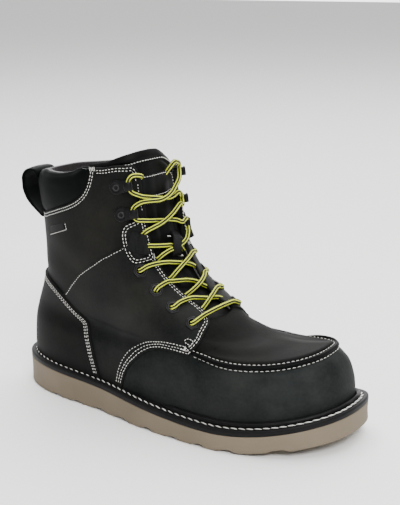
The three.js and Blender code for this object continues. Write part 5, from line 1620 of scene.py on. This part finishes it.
def studio():
    me = bpy.data.meshes.new("floor")
    me.from_pydata([(-6, -6, 0), (6, -6, 0), (6, 6, 0), (-6, 6, 0)], [], [(0, 1, 2, 3)])
    fl = bpy.data.objects.new("floor", me)
    bpy.context.scene.collection.objects.link(fl)
    m, nt, b = nodes_of("floor_pale", (0.96, 0.96, 0.955), 0.8, spec=0.1)
    me.materials.append(m)
    w = bpy.data.worlds.new("studio")
    w.use_nodes = True
    nt = w.node_tree
    bg = nt.nodes["Background"]
    bg.inputs["Color"].default_value = (1, 1, 1, 1)
    # a bright backdrop behind the boot, a dim room elsewhere
    tc = nt.nodes.new("ShaderNodeTexCoord")
    dot = nt.nodes.new("ShaderNodeVectorMath")
    dot.operation = "DOT_PRODUCT"
    nt.links.new(tc.outputs["Generated"], dot.inputs[0])
    dot.inputs[1].default_value = (-0.55, 0.83, 0.0)
    mr = nt.nodes.new("ShaderNodeMapRange")
    mr.interpolation_type = "SMOOTHSTEP"
    for k, v in (("From Min", 0.35), ("From Max", 0.88), ("To Min", 0.30), ("To Max", 3.6)):
        mr.inputs[k].default_value = v
    nt.links.new(dot.outputs["Value"], mr.inputs["Value"])
    nt.links.new(mr.outputs["Result"], bg.inputs["Strength"])
    bpy.context.scene.world = w

    def area(name, loc, aim, size, power, size_y=None):
        d = bpy.data.lights.new(name, "AREA")
        d.shape = "RECTANGLE"
        d.size, d.size_y = size, size_y or size
        d.energy = power
        o = bpy.data.objects.new(name, d)
        o.location = loc
        o.rotation_euler = (Vector(aim) - Vector(loc)).to_track_quat("-Z", "Y").to_euler()
        bpy.context.scene.collection.objects.link(o)
        return o
    area("key", (1.0, -0.85, 1.25), (0, 0, 0.08), 0.8, 30, 0.6)
    area("top", (-0.1, 0.5, 2.0), (0, 0, 0.0), 2.2, 80)
    area("fill", (-0.7, -1.6, 1.0), (0, 0, 0.08), 0.8, 1.5)


def camera():
    a, e, roll, D, f = math.radians(33.998), math.radians(15.922), math.radians(0.974), 2246.057, 1068.519
    b = np.array([math.sin(a) * math.cos(e), -math.cos(a) * math.cos(e), math.sin(e)])
    r = np.array([math.cos(a), math.sin(a), 0])
    u = np.cross(b, r)
    c, s = math.cos(roll), math.sin(roll)
    loc = (np.array([-736.779, 1121.793, -251.420]) + D * b + SHIFT) / 1000
    right, up = c * r - s * u, s * r + c * u
    cam = bpy.data.cameras.new("camera")
    cam.sensor_width = 36
    cam.lens = f * 36 / 505
    cam.clip_start, cam.clip_end = 0.05, 50
    o = bpy.data.objects.new("camera", cam)
    o.matrix_world = Matrix(((right[0], up[0], b[0], loc[0]), (right[1], up[1], b[1], loc[1]), (right[2], up[2], b[2], loc[2]), (0, 0, 0, 1)))
    bpy.context.scene.collection.objects.link(o)
    bpy.context.scene.camera = o


studio()
camera()
